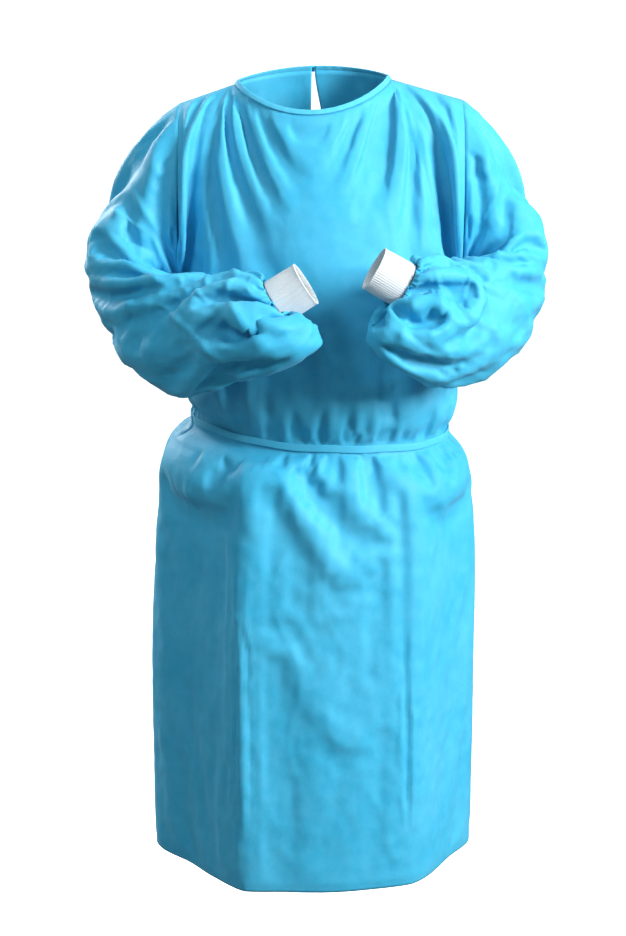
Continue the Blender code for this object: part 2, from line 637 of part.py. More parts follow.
def build_belt(finish):
    angle = np.arange(BELT_STEPS) * 360 / BELT_STEPS - 180
    path, out = belt_path(angle)
    tangent = unit(np.roll(path, -1, axis=0) - np.roll(path, 1, axis=0))
    up = unit(np.cross(out, tangent))
    return strip("belt", path, out, up, BELT_WIDTH, BELT_THICK, finish, closed=True)


def build_knot(name, centre, size, finish):
    bm = bmesh.new()
    bmesh.ops.create_uvsphere(bm, u_segments=12, v_segments=8, radius=1.0)
    bmesh.ops.scale(bm, vec=size, verts=bm.verts)
    bmesh.ops.translate(bm, vec=centre, verts=bm.verts)
    return add_object(name, bm, finish)


def build_belt_tail(name, angle_start, angle_end, length, finish):
    """A free end of the belt that hangs from its knot down the back, just off the cloth."""
    share = np.linspace(0, 1, TAIL_STEPS + 1) ** 1.6
    height = BELT_HEIGHT - BELT_WIDTH / 2 - 4 * MM - share * length
    angle = angle_start + (angle_end - angle_start) * share
    a = np.radians(angle)
    out = unit(np.stack([np.sin(a), -np.cos(a), 0 * a], -1))
    rise = OVERLAP_LIFT + 1.6 * MM + TAIL_THICK / 2 + fold_offset(angle, height) + 2 * MM * (1 - share) ** 4
    path = body_point(angle, height) + out * rise[:, None]
    tangent = unit(np.gradient(path, axis=0))
    across = unit(np.cross(out, tangent))
    return strip(name, path, unit(np.cross(tangent, across)), across, TAIL_WIDTH, TAIL_THICK, finish)


def build_neck_tail(name, grid, n, column_start, column_end, rows_down, finish):
    """A free end of the neck binding, lying down its back a little off the cloth."""
    share = np.linspace(0, 1, TAIL_STEPS + 1)
    row = len(grid) - 1.25 - share * rows_down
    column = column_start + (column_end - column_start) * share

    def between(values):
        i, j = np.floor(row).astype(int), np.floor(column).astype(int)
        u, v = (row - i)[:, None], (column - j)[:, None]
        lower = values[i, j] * (1 - v) + values[i, j + 1] * v
        return lower * (1 - u) + (values[i + 1, j] * (1 - v) + values[i + 1, j + 1] * v) * u

    out = unit(between(n))
    path = between(grid) + out * (TAIL_THICK / 2 + 0.5 * MM)
    tangent = unit(np.gradient(path, axis=0))
    across = unit(np.cross(out, tangent))
    return strip(name, path, unit(np.cross(tangent, across)), across, TAIL_WIDTH, TAIL_THICK, finish)


def main():
    for old in list(bpy.data.objects):
        bpy.data.objects.remove(old)
    cloth = material("blue nonwoven", BLUE, 0.75)
    trim = material("pale blue binding", PALE_BLUE, 0.7)
    knit = material("white knit", KNIT_WHITE, 0.9)
    panels, normals = panel_surfaces()
    for name, stations, side in (("left", LEFT_ARM, 1), ("right", RIGHT_ARM, -1)):
        surface = sleeve_surface(panels, stations, side)
        mitre_armhole(normals, surface[1], side)
        build_sleeve(f"sleeve_{name}", surface, cloth)
        build_cuff(f"cuff_{name}", surface, stations, knit)
    build_panels(panels, normals, cloth)
    build_binding(panels, trim)
    build_belt(trim)
    build_knot("neck_knot", (0.0, NECK_BACK + 4.3 * MM, NECK_BACK_RISE + 3 * MM), (7 * MM, 4.4 * MM, 5 * MM), trim)
    for name in ("left", "right"):
        build_neck_tail(f"neck_tail_{name}", panels[name], normals[name], 11.62, 11.3, 4.8, trim)
    knot_angle = 178.0
    place, out = belt_path(np.array([knot_angle]))
    centre = place[0] + out[0] * (BELT_THICK / 2 + 5.5 * MM)
    build_knot("belt_knot", centre, (9 * MM, 5 * MM, 6.5 * MM), trim)
    build_belt_tail("belt_tail_left", 176.3, 172.5, 0.270, trim)
    build_belt_tail("belt_tail_right", 180.6, 185.5, 0.310, trim)


main()
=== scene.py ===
"""The looks of an isolation gown, worn and empty: thin blue nonwoven cloth, ribbed knit cuffs, a bound
neckline and a narrow belt, both tied behind.

Metres, +Z up. The wearer faces -Y and +X is the wearer's left. The origin lies midway between the two
high shoulder points. The forms come from the same named sizes and tables as the solids, sampled more
finely, and add the creases, gathers, drawn-in seams, fibres and knit that the solids leave out.
"""

import math
from collections import namedtuple

import bmesh
import bpy
import numpy as np
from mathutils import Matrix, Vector, noise


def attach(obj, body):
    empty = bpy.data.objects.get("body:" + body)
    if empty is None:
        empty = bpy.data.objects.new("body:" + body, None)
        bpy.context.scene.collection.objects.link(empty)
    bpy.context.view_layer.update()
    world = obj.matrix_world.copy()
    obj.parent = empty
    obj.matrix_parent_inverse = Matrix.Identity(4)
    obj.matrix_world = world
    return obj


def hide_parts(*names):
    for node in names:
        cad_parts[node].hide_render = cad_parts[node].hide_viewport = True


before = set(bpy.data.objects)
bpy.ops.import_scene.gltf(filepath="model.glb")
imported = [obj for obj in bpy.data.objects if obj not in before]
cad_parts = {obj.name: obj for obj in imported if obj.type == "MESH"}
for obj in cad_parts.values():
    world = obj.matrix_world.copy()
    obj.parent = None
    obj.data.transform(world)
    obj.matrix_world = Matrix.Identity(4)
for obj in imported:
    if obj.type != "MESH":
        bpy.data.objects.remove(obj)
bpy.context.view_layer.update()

MM = 0.001

# Sizes that the solids share
SEAM_GAP = 0.3 * MM
NECK_HALF_WIDTH = 110 * MM
NECK_FRONT = 88 * MM
NECK_BACK = 72 * MM
NECK_FRONT_DROP = 48 * MM
NECK_BACK_RISE = 17 * MM
SHOULDER_LEFT = 211 * MM
SHOULDER_RIGHT = 188 * MM
SHOULDER_SLOPE = 0.31
SHOULDER_TILT = 0.030
HEM = -1124 * MM
UNDERARM = -285 * MM
ARMHOLE_DEPTH = 100 * MM
HPS_ANGLE = 52.5
BELT_HEIGHT = -483 * MM
BELT_WIDTH = 10 * MM
OVERLAP_LIFT = 3.4 * MM
CUFF_LENGTH = 48 * MM
CUFF_LONG_RADIUS = 30 * MM
CUFF_SHORT_RADIUS = 21.5 * MM
TAIL_WIDTH = 11 * MM
FOLD_FADE = 35 * MM
SIDE_CLEARANCE = 3.0 * MM

# How finely the cloth is sampled
BODY_ROWS = 200
YOKE_ROWS = 44
FRONT_COLUMNS = 192
BACK_COLUMNS = 96
SLEEVE_ROWS = 150

# How the cloth settles: rounds and stiffness on the coarse and on the fine grid, how far each move
# goes past the mean of what its neighbours ask, and how strong the slanting links are
COARSE_ROUNDS = 380
FINE_ROUNDS = 70
COARSE_STIFFNESS = 0.2
FINE_STIFFNESS = 0.6
OVERSHOOT = 1.6
SLANT_STRENGTH = 0.3

# How much more cloth there is than its form needs, as shares of its length across and down
BODY_MORE = 0.008, 0.004
BELT_MORE = 0.045
SLEEVE_MORE = 0.018, 0.028
CUFF_MORE = 0.50, 0.15
CROOK_MORE = 0.25

# How far the cloth may move while it settles, the sizes of its seeds, ridges and seams, and how wide
# the calm of the chest and the gathers at the belt are
BODY_REACH = 6.5 * MM
SLEEVE_REACH = 14 * MM
BODY_SEED = 2.0 * MM
SLEEVE_SEED = 1.5 * MM
FINE_SEED = 0.8 * MM
BODY_RIDGE = 0.9 * MM
PUCKER = 1.2 * MM
CHEST_HALF_WIDTH = 140 * MM
BELT_GATHER_REACH = 75 * MM

# Thicknesses, and the widths that show of the folded strips
CLOTH = 0.7 * MM
KNIT = 1.6 * MM
BINDING_WIDTH = 7.6 * MM
BINDING_THICK = 2.2 * MM
BELT_THICK = 1.6 * MM
TAIL_THICK = 1.2 * MM
KNOT_WIDTH = 4.4 * MM
KNOT_THICK = 1.8 * MM
STRIP_SIDES = 16


def in_metres(kind, *rows):
    """A table whose rows are written in millimetres."""
    return [kind(*(value * MM for value in row)) for row in rows]


# The body's size at a height
Section = namedtuple("Section", "height centre_x half_width front back front_drop side_drop")
SECTIONS = in_metres(
    Section,
    (UNDERARM / MM, 11.5, 199.5, 133, 122, 0, 0),
    (-330, 12.5, 195.5, 136, 122, 2, 3),
    (-380, 13, 192.5, 139, 124, 6, 7),
    (-430, 13, 192.5, 144, 130, 14, 10),
    (-457, 12, 191.5, 140, 129, 20, 12),
    (-475.5, 10, 185.5, 126, 117, 22, 12),
    (BELT_HEIGHT / MM, 10, 185.5, 126, 117, 22, 12),
    (-490.5, 10, 185.5, 126, 117, 22, 12),
    (-508, 6, 206, 141, 132, 21, 11),
    (-535, 4, 220, 152, 143, 19, 8),
    (-575, 5, 229.5, 161, 152, 17, 5),
    (-635, 5, 237, 168, 159, 15, 2),
    (-710, 4, 241, 173, 163, 14, 0),
    (-800, 2, 243, 177, 166, 13, 0),
    (-900, 1, 243.5, 179, 169, 12, 0),
    (-1010, 1, 243, 180, 170, 12, 0),
    (-1124, 1, 242, 181, 170, 12, 0),
)

# Where each back edge runs, as X at a height
Edge = namedtuple("Edge", "height left right")
BACK_EDGES = in_metres(
    Edge,
    (30, 1.2, -1.2),
    (5, 3.5, -2),
    (-40, 12, -3),
    (-80, 20, -4.5),
    (-130, 27, -9),
    (-240, 31, -16),
    (-360, 19, -8),
    (-430, -5, 14),
    (-485, -22, 30),
    (-600, -30, 40),
    (-850, -38, 50),
    (-1140, -45, 60),
)

# The body's main folds: from one angle and height to another, half-width in degrees, height in metres
# and how sharp the crest is
Fold = namedtuple("Fold", "angle_top top angle_bottom bottom half_width height sharp")
BODY_FOLDS = [Fold(*row) for row in (
    (-24.0, -0.500, -23.0, -1.20, 9.0, 0.0150, 0.8),
    (-53.0, -0.560, -57.0, -1.20, 21.0, -0.0270, 0.0),
    (36.0, -0.500, 35.0, -1.20, 10.0, 0.0085, 0.6),
    (62.0, -0.560, 66.0, -1.20, 20.0, -0.0220, 0.0),
    (-18.0, -0.505, 12.0, -0.690, 6.0, 0.0060, 0.4),
    (-8.0, -0.505, 20.0, -0.640, 7.0, -0.0050, 0.0),
    (-14.0, -0.740, 14.0, -0.930, 7.0, 0.0045, 0.3),
    (-26.0, -0.330, -25.0, -0.470, 7.0, 0.0050, 0.5),
    (41.0, -0.330, 38.0, -0.470, 7.0, 0.0050, 0.5),
    (-46.0, -0.040, -18.0, -0.300, 6.0, -0.0045, 0.3),
    (-57.0, -0.060, -40.0, -0.300, 6.0, -0.0045, 0.3),
    (48.0, -0.040, 38.0, -0.300, 6.0, -0.0045, 0.3),
    (62.0, -0.060, 66.0, -0.260, 6.0, -0.0040, 0.3),
    (128.0, -0.500, 132.0, -1.20, 10.0, 0.0110, 0.6),
    (108.0, -0.560, 110.0, -1.20, 12.0, -0.0090, 0.0),
    (-124.0, -0.500, -130.0, -1.20, 10.0, 0.0110, 0.6),
    (-104.0, -0.560, -108.0, -1.20, 12.0, -0.0090, 0.0),
    (120.0, -0.060, 140.0, -0.380, 8.0, -0.0050, 0.2),
    (-118.0, -0.060, -142.0, -0.380, 8.0, -0.0050, 0.2),
)]

# Stations down each arm, as in the solids
Station = namedtuple("Station", "elbow_x elbow_y elbow_z crook_x crook_y crook_z near away ahead")
LEFT_ARM = in_metres(
    Station,
    (211, 0, -26.5, 211, 0, -285, 70, 70, 0),
    (244, 10, -57, 226, -3, -284, 72, 74, 0),
    (273, 18, -104, 238, -13, -281, 70, 74, 0),
    (296, 22, -154, 242, -32, -275, 64, 73, 0),
    (308, 18, -202, 237, -56, -266, 56, 71, 0),
    (309, 6, -249, 223, -78, -257, 50, 69, 0),
    (306, -14, -299, 207, -97, -250, 46, 67, 0),
    (297, -48, -346, 191, -115, -247, 44, 66, 0),
    (264, -100, -379, 177, -132, -246, 44, 65, 0),
    (218, -150, -397, 164, -152, -245, 44, 62, 6),
    (173, -190, -389, 152, -173, -243, 43, 56, 30),
    (136, -214, -352, 144, -192, -239, 37, 45, 60),
    (105, -209.5, -302.4, 138.2, -206.5, -244, 25, 25, 0),
)
RIGHT_ARM = in_metres(
    Station,
    (-188, 0, -30, -188, 0, -285, 70, 70, 0),
    (-225, 10, -65, -203, -3, -286.5, 72, 74, 0),
    (-259, 18, -112, -216, -13, -287, 70, 74, 0),
    (-286, 22, -163, -221, -32, -286.5, 64, 73, 0),
    (-304, 18, -212, -217, -56, -285, 56, 71, 0),
    (-308, 6, -260, -203, -78, -283, 50, 69, 0),
    (-298, -14, -308, -183, -98, -280, 45, 67, 0),
    (-281, -47, -354, -158, -117, -277, 41, 66, 0),
    (-243, -92, -393, -135, -136, -272, 40, 65, 0),
    (-188, -134, -411, -112, -158, -264, 40, 63, 10),
    (-133, -172, -377, -93, -178, -258, 40, 59, 42),
    (-82, -204, -346, -79, -193, -255, 36, 48, 85),
    (-31.8, -205, -323.7, -67.2, -203, -266.9, 25, 25, 0),
)
ARMHOLE_BLEND = 0.35
CROOK_ROUNDS = 30
RING_SHARES = np.concatenate([
    np.linspace(0, 0.28, 6),
    np.linspace(0.28, 0.66, 13)[1:],
    np.linspace(0.66, 0.8, 4)[1:],
    np.linspace(0.8, 1, 9)[1:],
])
GATHERS = 9
GATHER_START = 0.78
GATHER_HEIGHT = 3.0 * MM

# Folds round a sleeve, from the crook to the elbow's side, as shares of its length
SleeveFold = namedtuple("SleeveFold", "at_crook at_elbow half_width height side")
SLEEVE_FOLDS = [SleeveFold(*row) for row in (
    (0.36, 0.20, 0.040, -0.0060, -1),
    (0.41, 0.30, 0.035, 0.0060, -1),
    (0.45, 0.40, 0.035, -0.0060, -1),
    (0.49, 0.50, 0.035, 0.0060, -1),
    (0.53, 0.60, 0.035, -0.0060, -1),
    (0.66, 0.74, 0.035, 0.0050, -1),
    (0.38, 0.25, 0.040, -0.0050, 1),
    (0.45, 0.38, 0.040, 0.0060, 1),
    (0.52, 0.56, 0.040, -0.0050, 1),
)]

# Creases, drawn on the cloth as it is seen from the front or from behind
TO_FRONT, TO_BACK = -1, 1
Crease = namedtuple("Crease", "facing height half_width sharp line")


def creases(facing, *rows):
    """Creases from rows of how far each stands out, its half-width, how sharp it is, and its line.

    The line is X and Z at each of its points. All lengths are in millimetres.
    """
    found = []
    for height, half_width, sharp, *line in rows:
        points = np.array(line).reshape(-1, 2) * MM
        found.append(Crease(facing, height * MM, half_width * MM, sharp, points))
    return found


BODY_CREASES = creases(
    TO_FRONT,
    # from the neck down over the chest
    (-3.5, 11, 0.3, -105, -21, -84, -91, -60, -161, -41, -235),
    (2.5, 9, 0.5, -88, -40, -68, -100, -44, -165, -22, -225),
    (-2.8, 10, 0.3, -134, -39, -126, -100, -116, -171, -107, -235),
    (2.4, 8, 0.6, -150, -60, -147, -120, -140, -190, -132, -250),
    (-2.8, 12, 0.2, 137, -10, 150, -69, 135, -130, 117, -185),
    (2.4, 9, 0.5, 120, -30, 128, -90, 112, -150, 92, -205),
    (-2.4, 10, 0.3, 165, -40, 178, -85, 193, -130),
    (1.8, 9, 0.5, 60, -85, 55, -150, 40, -215),
    # between the sleeves and the belt
    (2.6, 8, 0.7, -88, -330, -90, -400, -83, -475),
    (-2.6, 11, 0.2, -64, -360, -66, -420, -58, -478),
    (2.8, 8, 0.7, 122, -330, 128, -400, 122, -480),
    (-3, 10, 0.2, 104, -410, 112, -450, 112, -480),
    (-2, 12, 0.2, -20, -330, -5, -400, 0, -455),
    (1.8, 9, 0.4, 30, -420, 24, -450, 22, -478),
    (1.8, 8, 0.5, -130, -400, -126, -440, -124, -476),
    (1.8, 8, 0.5, 66, -430, 62, -455, 60, -480),
    # from the belt down
    (3.4, 7, 0.9, -86, -500, -99, -545, -103, -700, -100, -900, -97, -1180),
    (1.3, 11, 0.7, -58, -508, -40, -540, -15, -575, 10, -612, 30, -650),
    (0.9, 14, 0.6, -60, -700, -20, -748, 12, -798, 46, -865),
    (1.6, 9, 0.6, 130, -500, 138, -560, 141, -700, 146, -900, 154, -1180),
    (-2.2, 6, 0.8, 118, -495, 124, -560, 127, -700, 132, -900, 140, -1180),
    (-2, 10, 0.2, 85, -512, 88, -560, 80, -620),
    (1.8, 9, 0.5, 50, -512, 54, -550, 66, -600),
    (1.8, 8, 0.5, 6, -512, 12, -540, 22, -575),
    (-1.8, 8, 0.3, -120, -508, -134, -540, -146, -600),
    (2, 8, 0.5, -150, -508, -170, -560, -182, -640),
    (2, 8, 0.5, 160, -506, 176, -560, 186, -640),
) + creases(
    TO_BACK,
    (2.6, 8, 0.7, 150, -508, 156, -640, 150, -860),
    (-2.6, 11, 0.2, 110, -512, 100, -600, 85, -700),
    (2.2, 9, 0.5, 72, -512, 62, -570, 45, -640),
    (2.6, 8, 0.7, -140, -508, -150, -640, -146, -860),
    (-2.6, 11, 0.2, -100, -512, -85, -600, -70, -720),
    (2.2, 9, 0.5, -60, -512, -50, -570, -30, -650),
    (2.4, 9, 0.5, 150, -60, 128, -150, 100, -250, 80, -340),
    (-2.4, 11, 0.2, 120, -50, 100, -130, 74, -220),
    (2.4, 9, 0.5, -136, -60, -112, -150, -86, -250, -66, -340),
    (-2.4, 11, 0.2, -106, -50, -84, -130, -60, -220),
    (2.2, 8, 0.6, 120, -380, 116, -430, 118, -476),
    (2.2, 8, 0.6, -110, -380, -104, -430, -106, -476),
    (-2, 10, 0.2, 70, -400, 66, -440, 68, -476),
    (-2, 10, 0.2, -62, -400, -56, -440, -58, -476),
)

SLEEVE_CREASES = creases(
    TO_FRONT,
    # the wearer's right sleeve: the bag below the cuff, the forearm, the elbow
    (4.8, 8, 0.8, -120, -279, -101, -304, -80, -333, -55, -365),
    (-4, 11, 0.3, -141, -289, -119, -322, -96, -355),
    (3.6, 6, 0.8, -95, -266, -80, -283, -59, -293, -38, -317),
    (3.2, 6, 0.8, -87, -308, -59, -322, -27, -327),
    (-3.6, 7, 0.6, -67, -345, -40, -334, -9, -329),
    (4, 8, 0.7, -217, -292, -173, -322, -138, -354, -104, -379),
    (4.2, 7, 0.8, -288, -233, -261, -248, -225, -263, -189, -276),
    (3.6, 6, 0.8, -287, -176, -258, -192, -229, -210),
    (-3.2, 8, 0.5, -284, -205, -250, -222, -215, -240),
    (3.4, 8, 0.7, -275, -298, -241, -305, -209, -298),
    (2.6, 7, 0.6, -258, -137, -239, -172, -215, -214),
    # the wearer's left sleeve
    (3.6, 6, 0.8, 294, -208, 267, -227, 239, -245),
    (3.6, 6, 0.8, 250, -274, 266, -284, 294, -311),
    (3.6, 8, 0.7, 158, -246, 166, -276, 167, -318),
    (-3.4, 8, 0.5, 114, -312, 135, -339, 167, -362),
    (3.4, 7, 0.8, 140, -276, 121, -318, 109, -355),
    (3.2, 8, 0.7, 190, -294, 222, -323, 258, -341),
    (2.6, 7, 0.6, 261, -124, 250, -165, 231, -204),
)


def smoothstep(x):
    x = np.clip(x, 0.0, 1.0)
    return x * x * (3 - 2 * x)


def bell(x):
    """1 at 0, and falling away on both sides."""
    return np.exp(-x * x)


def unit(v):
    return v / np.maximum(np.linalg.norm(v, axis=-1, keepdims=True), 1e-12)


def lengths_along(points, axis=0):
    """Running lengths, from 0, along an axis of a grid of points or down a path."""
    steps = np.linalg.norm(np.diff(points, axis=axis), axis=-1)
    run = np.cumsum(steps, axis=axis)
    return np.concatenate([0 * run.take([0], axis), run], axis=axis)


def monotone(keys, values, at):
    """A smooth curve through the values that never swings past them."""
    order = np.argsort(keys)
    k, v = np.asarray(keys, float)[order], np.asarray(values, float)[order]
    step, slope = np.diff(k), np.diff(v) / np.diff(k)
    tangent = np.concatenate([[slope[0]], (slope[:-1] + slope[1:]) / 2, [slope[-1]]])
    tangent[1:-1][slope[:-1] * slope[1:] <= 0] = 0.0
    limit = 3 * np.minimum(np.abs(np.append(slope, slope[-1])), np.abs(np.insert(slope, 0, slope[0])))
    tangent = np.clip(tangent, -limit, limit)
    at = np.clip(at, k[0], k[-1])
    i = np.clip(np.searchsorted(k, at, side="right") - 1, 0, len(step) - 1)
    t = (at - k[i]) / step[i]
    start = v[i] * (1 + 2 * t) * (1 - t) ** 2 + tangent[i] * step[i] * t * (1 - t) ** 2
    return start + v[i + 1] * t * t * (3 - 2 * t) + tangent[i + 1] * step[i] * t * t * (t - 1)


def section_at(height, column):
    return monotone([s.height for s in SECTIONS], [getattr(s, column) for s in SECTIONS], height)


def edge_at(height, side):
    return monotone([e.height for e in BACK_EDGES], [getattr(e, side) for e in BACK_EDGES], height)


def depth_at(a, height):
    """How far the body reaches to the front or the back, by the way an angle in radians points."""
    return np.where(np.cos(a) > 0, section_at(height, "front"), section_at(height, "back"))


def body_point(angle, height):
    """The unfolded body at an angle and a level, below the underarms."""
    a = np.radians(angle)
    depth = depth_at(a, height)
    x = section_at(height, "centre_x") + section_at(height, "half_width") * np.sin(a)
    z = height - section_at(height, "front_drop") * np.cos(a) - section_at(height, "side_drop") * np.sin(a)
    return np.stack([x, -depth * np.cos(a), z], -1)


def top_edge(angle):
    """The neckline, then the shoulder seam, at an angle round the body."""
    size, side = np.abs(angle), np.sign(angle)
    from_middle = np.where(size <= 90, size, 180 - size)
    in_neck = from_middle <= HPS_ANGLE
    turn = np.radians(90 * np.clip(from_middle / HPS_ANGLE, 0, 1))
    along = np.clip((from_middle - HPS_ANGLE) / (90 - HPS_ANGLE), 0, 1)
    depth = np.where(size <= 90, -NECK_FRONT, NECK_BACK)
    rise = np.where(size <= 90, -NECK_FRONT_DROP, NECK_BACK_RISE)
    length = np.where(angle > 0, SHOULDER_LEFT, SHOULDER_RIGHT) - NECK_HALF_WIDTH
    x = side * np.where(in_neck, NECK_HALF_WIDTH * np.sin(turn), NECK_HALF_WIDTH + along * length)
    y = np.where(in_neck, depth * np.cos(turn), 0.0)
    z = np.where(in_neck, rise * np.cos(turn) ** 1.6, -SHOULDER_SLOPE * length * along)
    return np.stack([x, y, z + SHOULDER_TILT * x], -1)


def yoke_point(angle, share, behind):
    """The unfolded body above the underarms: share 0 is the underarm's level and 1 the top edge."""
    size, side = np.abs(angle), np.sign(angle)
    forward = 1.0 if behind else -1.0
    from_middle = 180 - size if behind else size
    foot, head = body_point(angle, np.full_like(angle, UNDERARM)), top_edge(angle)
    to_armhole = smoothstep((from_middle - 62) / 28)
    up = np.stack([0 * angle, forward * to_armhole, 1 - to_armhole], -1)
    over_shoulder = smoothstep((from_middle - 0.45 * HPS_ANGLE) / (0.75 * HPS_ANGLE))
    lean = np.stack(
        [
            -side * 0.35 * over_shoulder * (1 - to_armhole),
            -forward * (0.25 + 0.75 * over_shoulder),
            0.95 - 0.75 * over_shoulder,
        ],
        -1,
    )
    start = foot + unit(up) * ARMHOLE_DEPTH
    end = head - unit(lean) * ARMHOLE_DEPTH
    s = np.asarray(share)[..., None]
    return foot * (1 - s) ** 3 + 3 * start * s * (1 - s) ** 2 + 3 * end * s * s * (1 - s) + head * s**3


def fold_offset(angle, height):
    """How far the main folds lift the cloth at an angle and a height."""
    total = np.zeros(np.broadcast(angle, height).shape)
    for f in BODY_FOLDS:
        along = (f.top - height) / (f.top - f.bottom)
        centre = f.angle_top + (f.angle_bottom - f.angle_top) * along
        off = np.abs((angle - centre + 180) % 360 - 180) / f.half_width
        crest = f.sharp * np.clip(1 - off / 1.7, 0, 1) ** 1.5 + (1 - f.sharp) * bell(off)
        ends = smoothstep((f.top - height) / FOLD_FADE) * smoothstep((height - f.bottom) / FOLD_FADE)
        total = total + f.height * crest * ends
    return total


def grid_normals(grid, around=False):
    """Unit normals of a grid of points, rows by columns."""
    down = np.gradient(grid, axis=0)
    if around:
        across = (np.roll(grid, -1, axis=1) - np.roll(grid, 1, axis=1)) / 2
    else:
        across = np.gradient(grid, axis=1)
    return unit(np.cross(across, down))


def body_grid(angles_of_row, behind):
    """Rows of unfolded body points from the hem to the top edge, and each point's angle and level."""
    rows, angles, levels = [], [], []
    for height in np.linspace(HEM, UNDERARM, BODY_ROWS + 1):
        a = angles_of_row(height)
        rows.append(body_point(a, np.full_like(a, height)))
        angles.append(a)
        levels.append(np.full_like(a, height))
    for share in np.arange(1, YOKE_ROWS + 1) / YOKE_ROWS:
        a = angles_of_row(UNDERARM)
        rows.append(yoke_point(a, np.full_like(a, share), behind))
        angles.append(a)
        levels.append(rows[-1][:, 2])
    return np.array(rows), np.array(angles), np.array(levels)


def back_grid(name):
    """A back, from its side seam to its free edge, which runs where the table of edges says."""
    side = 1 if name == "left" else -1

    def angles_of_row(height):
        reach = (edge_at(height, name) - section_at(height, "centre_x")) / section_at(height, "half_width")
        end = 180 - side * math.degrees(math.asin(reach))
        return side * np.linspace(90, end, BACK_COLUMNS + 1)

    grid, angles, levels = body_grid(angles_of_row, True)
    even = side * np.linspace(90, 180, BACK_COLUMNS + 1)
    for row in range(BODY_ROWS + 1, len(grid)):
        share = (row - BODY_ROWS) / YOKE_ROWS
        blend = angles[row] + (even - angles[row]) * share
        grid[row] = yoke_point(blend, np.full_like(blend, share), True)
        angles[row] = blend
    yoke = slice(BODY_ROWS + 1, None)
    shift = edge_at(grid[yoke, -1, 2], name) - grid[yoke, -1, 0]
    weight = smoothstep((np.arange(BACK_COLUMNS + 1) / BACK_COLUMNS - 0.45) / 0.55)
    grid[yoke, :, 0] += shift[:, None] * weight
    levels[yoke] = grid[yoke, :, 2]
    return grid, angles, levels


def lift_of_overlap(angle, height):
    """How far the wearer's left back stands off, where it lies over the right one."""
    near_middle = smoothstep((np.abs(angle) - 142) / 24)
    return OVERLAP_LIFT * near_middle * smoothstep((-0.320 - height) / 0.05)


def crease_offset(points, facing_of, creases):
    """How far the fine creases lift each point, where the cloth faces the way they are drawn."""
    flat = points[..., [0, 2]]
    total = np.zeros(points.shape[:-1])
    for c in creases:
        line = c.line
        lengths = np.linalg.norm(np.diff(line, axis=0), axis=1)
        nearest, place = np.full(total.shape, 9.0), np.zeros(total.shape)
        run = 0.0
        for a, b, length in zip(line, line[1:], lengths):
            t = np.clip(((flat - a) @ (b - a)) / length**2, 0, 1)
            off = np.linalg.norm(flat - a - t[..., None] * (b - a), axis=-1)
            place = np.where(off < nearest, run + t * length, place)
            nearest = np.minimum(off, nearest)
            run += length
        off = nearest / c.half_width
        crest = c.sharp * np.exp(-1.6 * off) + (1 - c.sharp) * bell(off)
        ends = smoothstep(place / (0.3 * run)) * smoothstep((run - place) / (0.3 * run))
        total = total + c.height * crest * ends * smoothstep(0.2 + c.facing * facing_of / 0.4)
    return total


def crumple(points, size, seed, sharp=1.0):
    """Small irregular ridges all over the cloth, from -1 to 1, the same each time."""
    shift = Vector((seed * 3.7, seed * 1.3, seed * 2.1))
    flat = points.reshape(-1, 3) / size
    values = [noise.noise(Vector(p) + shift) for p in flat]
    shaped = np.array(values).reshape(points.shape[:-1])
    return np.sign(shaped) * np.abs(shaped) ** sharp


def ridges(points, size, seed):
    """A net of thin sharp ridges, 1 along their crests, like the marks of old folds in the cloth."""
    return np.maximum(0, 1 - 5 * np.abs(crumple(points, size, seed))) ** 1.3


def panel_surfaces():
    """The points and the normals of the front and both backs, which agree along their seams."""
    front = body_grid(lambda height: np.linspace(-90, 90, FRONT_COLUMNS + 1), False)
    found = {"front": front, "left": back_grid("left"), "right": back_grid("right")}
    panels = {name: f[0] for name, f in found.items()}
    signs = {"front": 1, "left": 1, "right": -1}
    shoulder = int(round((90 - HPS_ANGLE) / (90 / BACK_COLUMNS)))

    def joined_normals():
        n = {name: signs[name] * grid_normals(grid) for name, grid in panels.items()}
        for name, edge in (("left", -1), ("right", 0)):
            side = unit(n["front"][: BODY_ROWS + 1, edge] + n[name][: BODY_ROWS + 1, 0])
            n["front"][: BODY_ROWS + 1, edge] = side
            n[name][: BODY_ROWS + 1, 0] = side
            ends = slice(-1 - shoulder, None) if name == "left" else slice(0, shoulder + 1)
            turned = -1 if name == "left" else 1
            seam = unit(n["front"][-1, ends][::turned] + n[name][-1, : shoulder + 1])
            n[name][-1, : shoulder + 1] = seam
            n["front"][-1, ends] = seam[::turned]
        return n

    normals = joined_normals()
    for name, (grid, angles, levels) in found.items():
        lift = fold_offset(angles, levels)
        if name == "left":
            lift = lift + lift_of_overlap(angles, levels)
        panels[name] = grid + normals[name] * lift[..., None]
    return panels, joined_normals()


def edge_fade(grid, around, reach=0.030):
    """0 on the edges of a piece and 1 away from them, so that neighbours still meet."""
    rows = lengths_along(grid.mean(axis=1))
    fade = smoothstep(rows / reach) * smoothstep((rows[-1] - rows) / reach)
    fade = np.repeat(fade[:, None], grid.shape[1], axis=1)
    if not around:
        columns = lengths_along(grid, 1)
        fade = fade * smoothstep(columns / reach) * smoothstep((columns[:, -1:] - columns) / reach)
    return fade


def seam_pucker(fade):
    """A shallow groove along the sewn edges, drawn up a little by the stitches."""
    return -PUCKER * (1 - smoothstep(fade * 2.5))


def shifted(values, columns):
    return np.roll(values, -columns, axis=1)


def cut_lengths(grid, more_across, more_down):
    """The cut distances between neighbouring cloth points: those of the grid and what is left over."""
    across = np.linalg.norm(shifted(grid, 1) - grid, axis=2) * (1 + more_across)
    down = np.linalg.norm(np.diff(grid, axis=0), axis=2) * (1 + (more_down[:-1] + more_down[1:]) / 2)
    return across, down


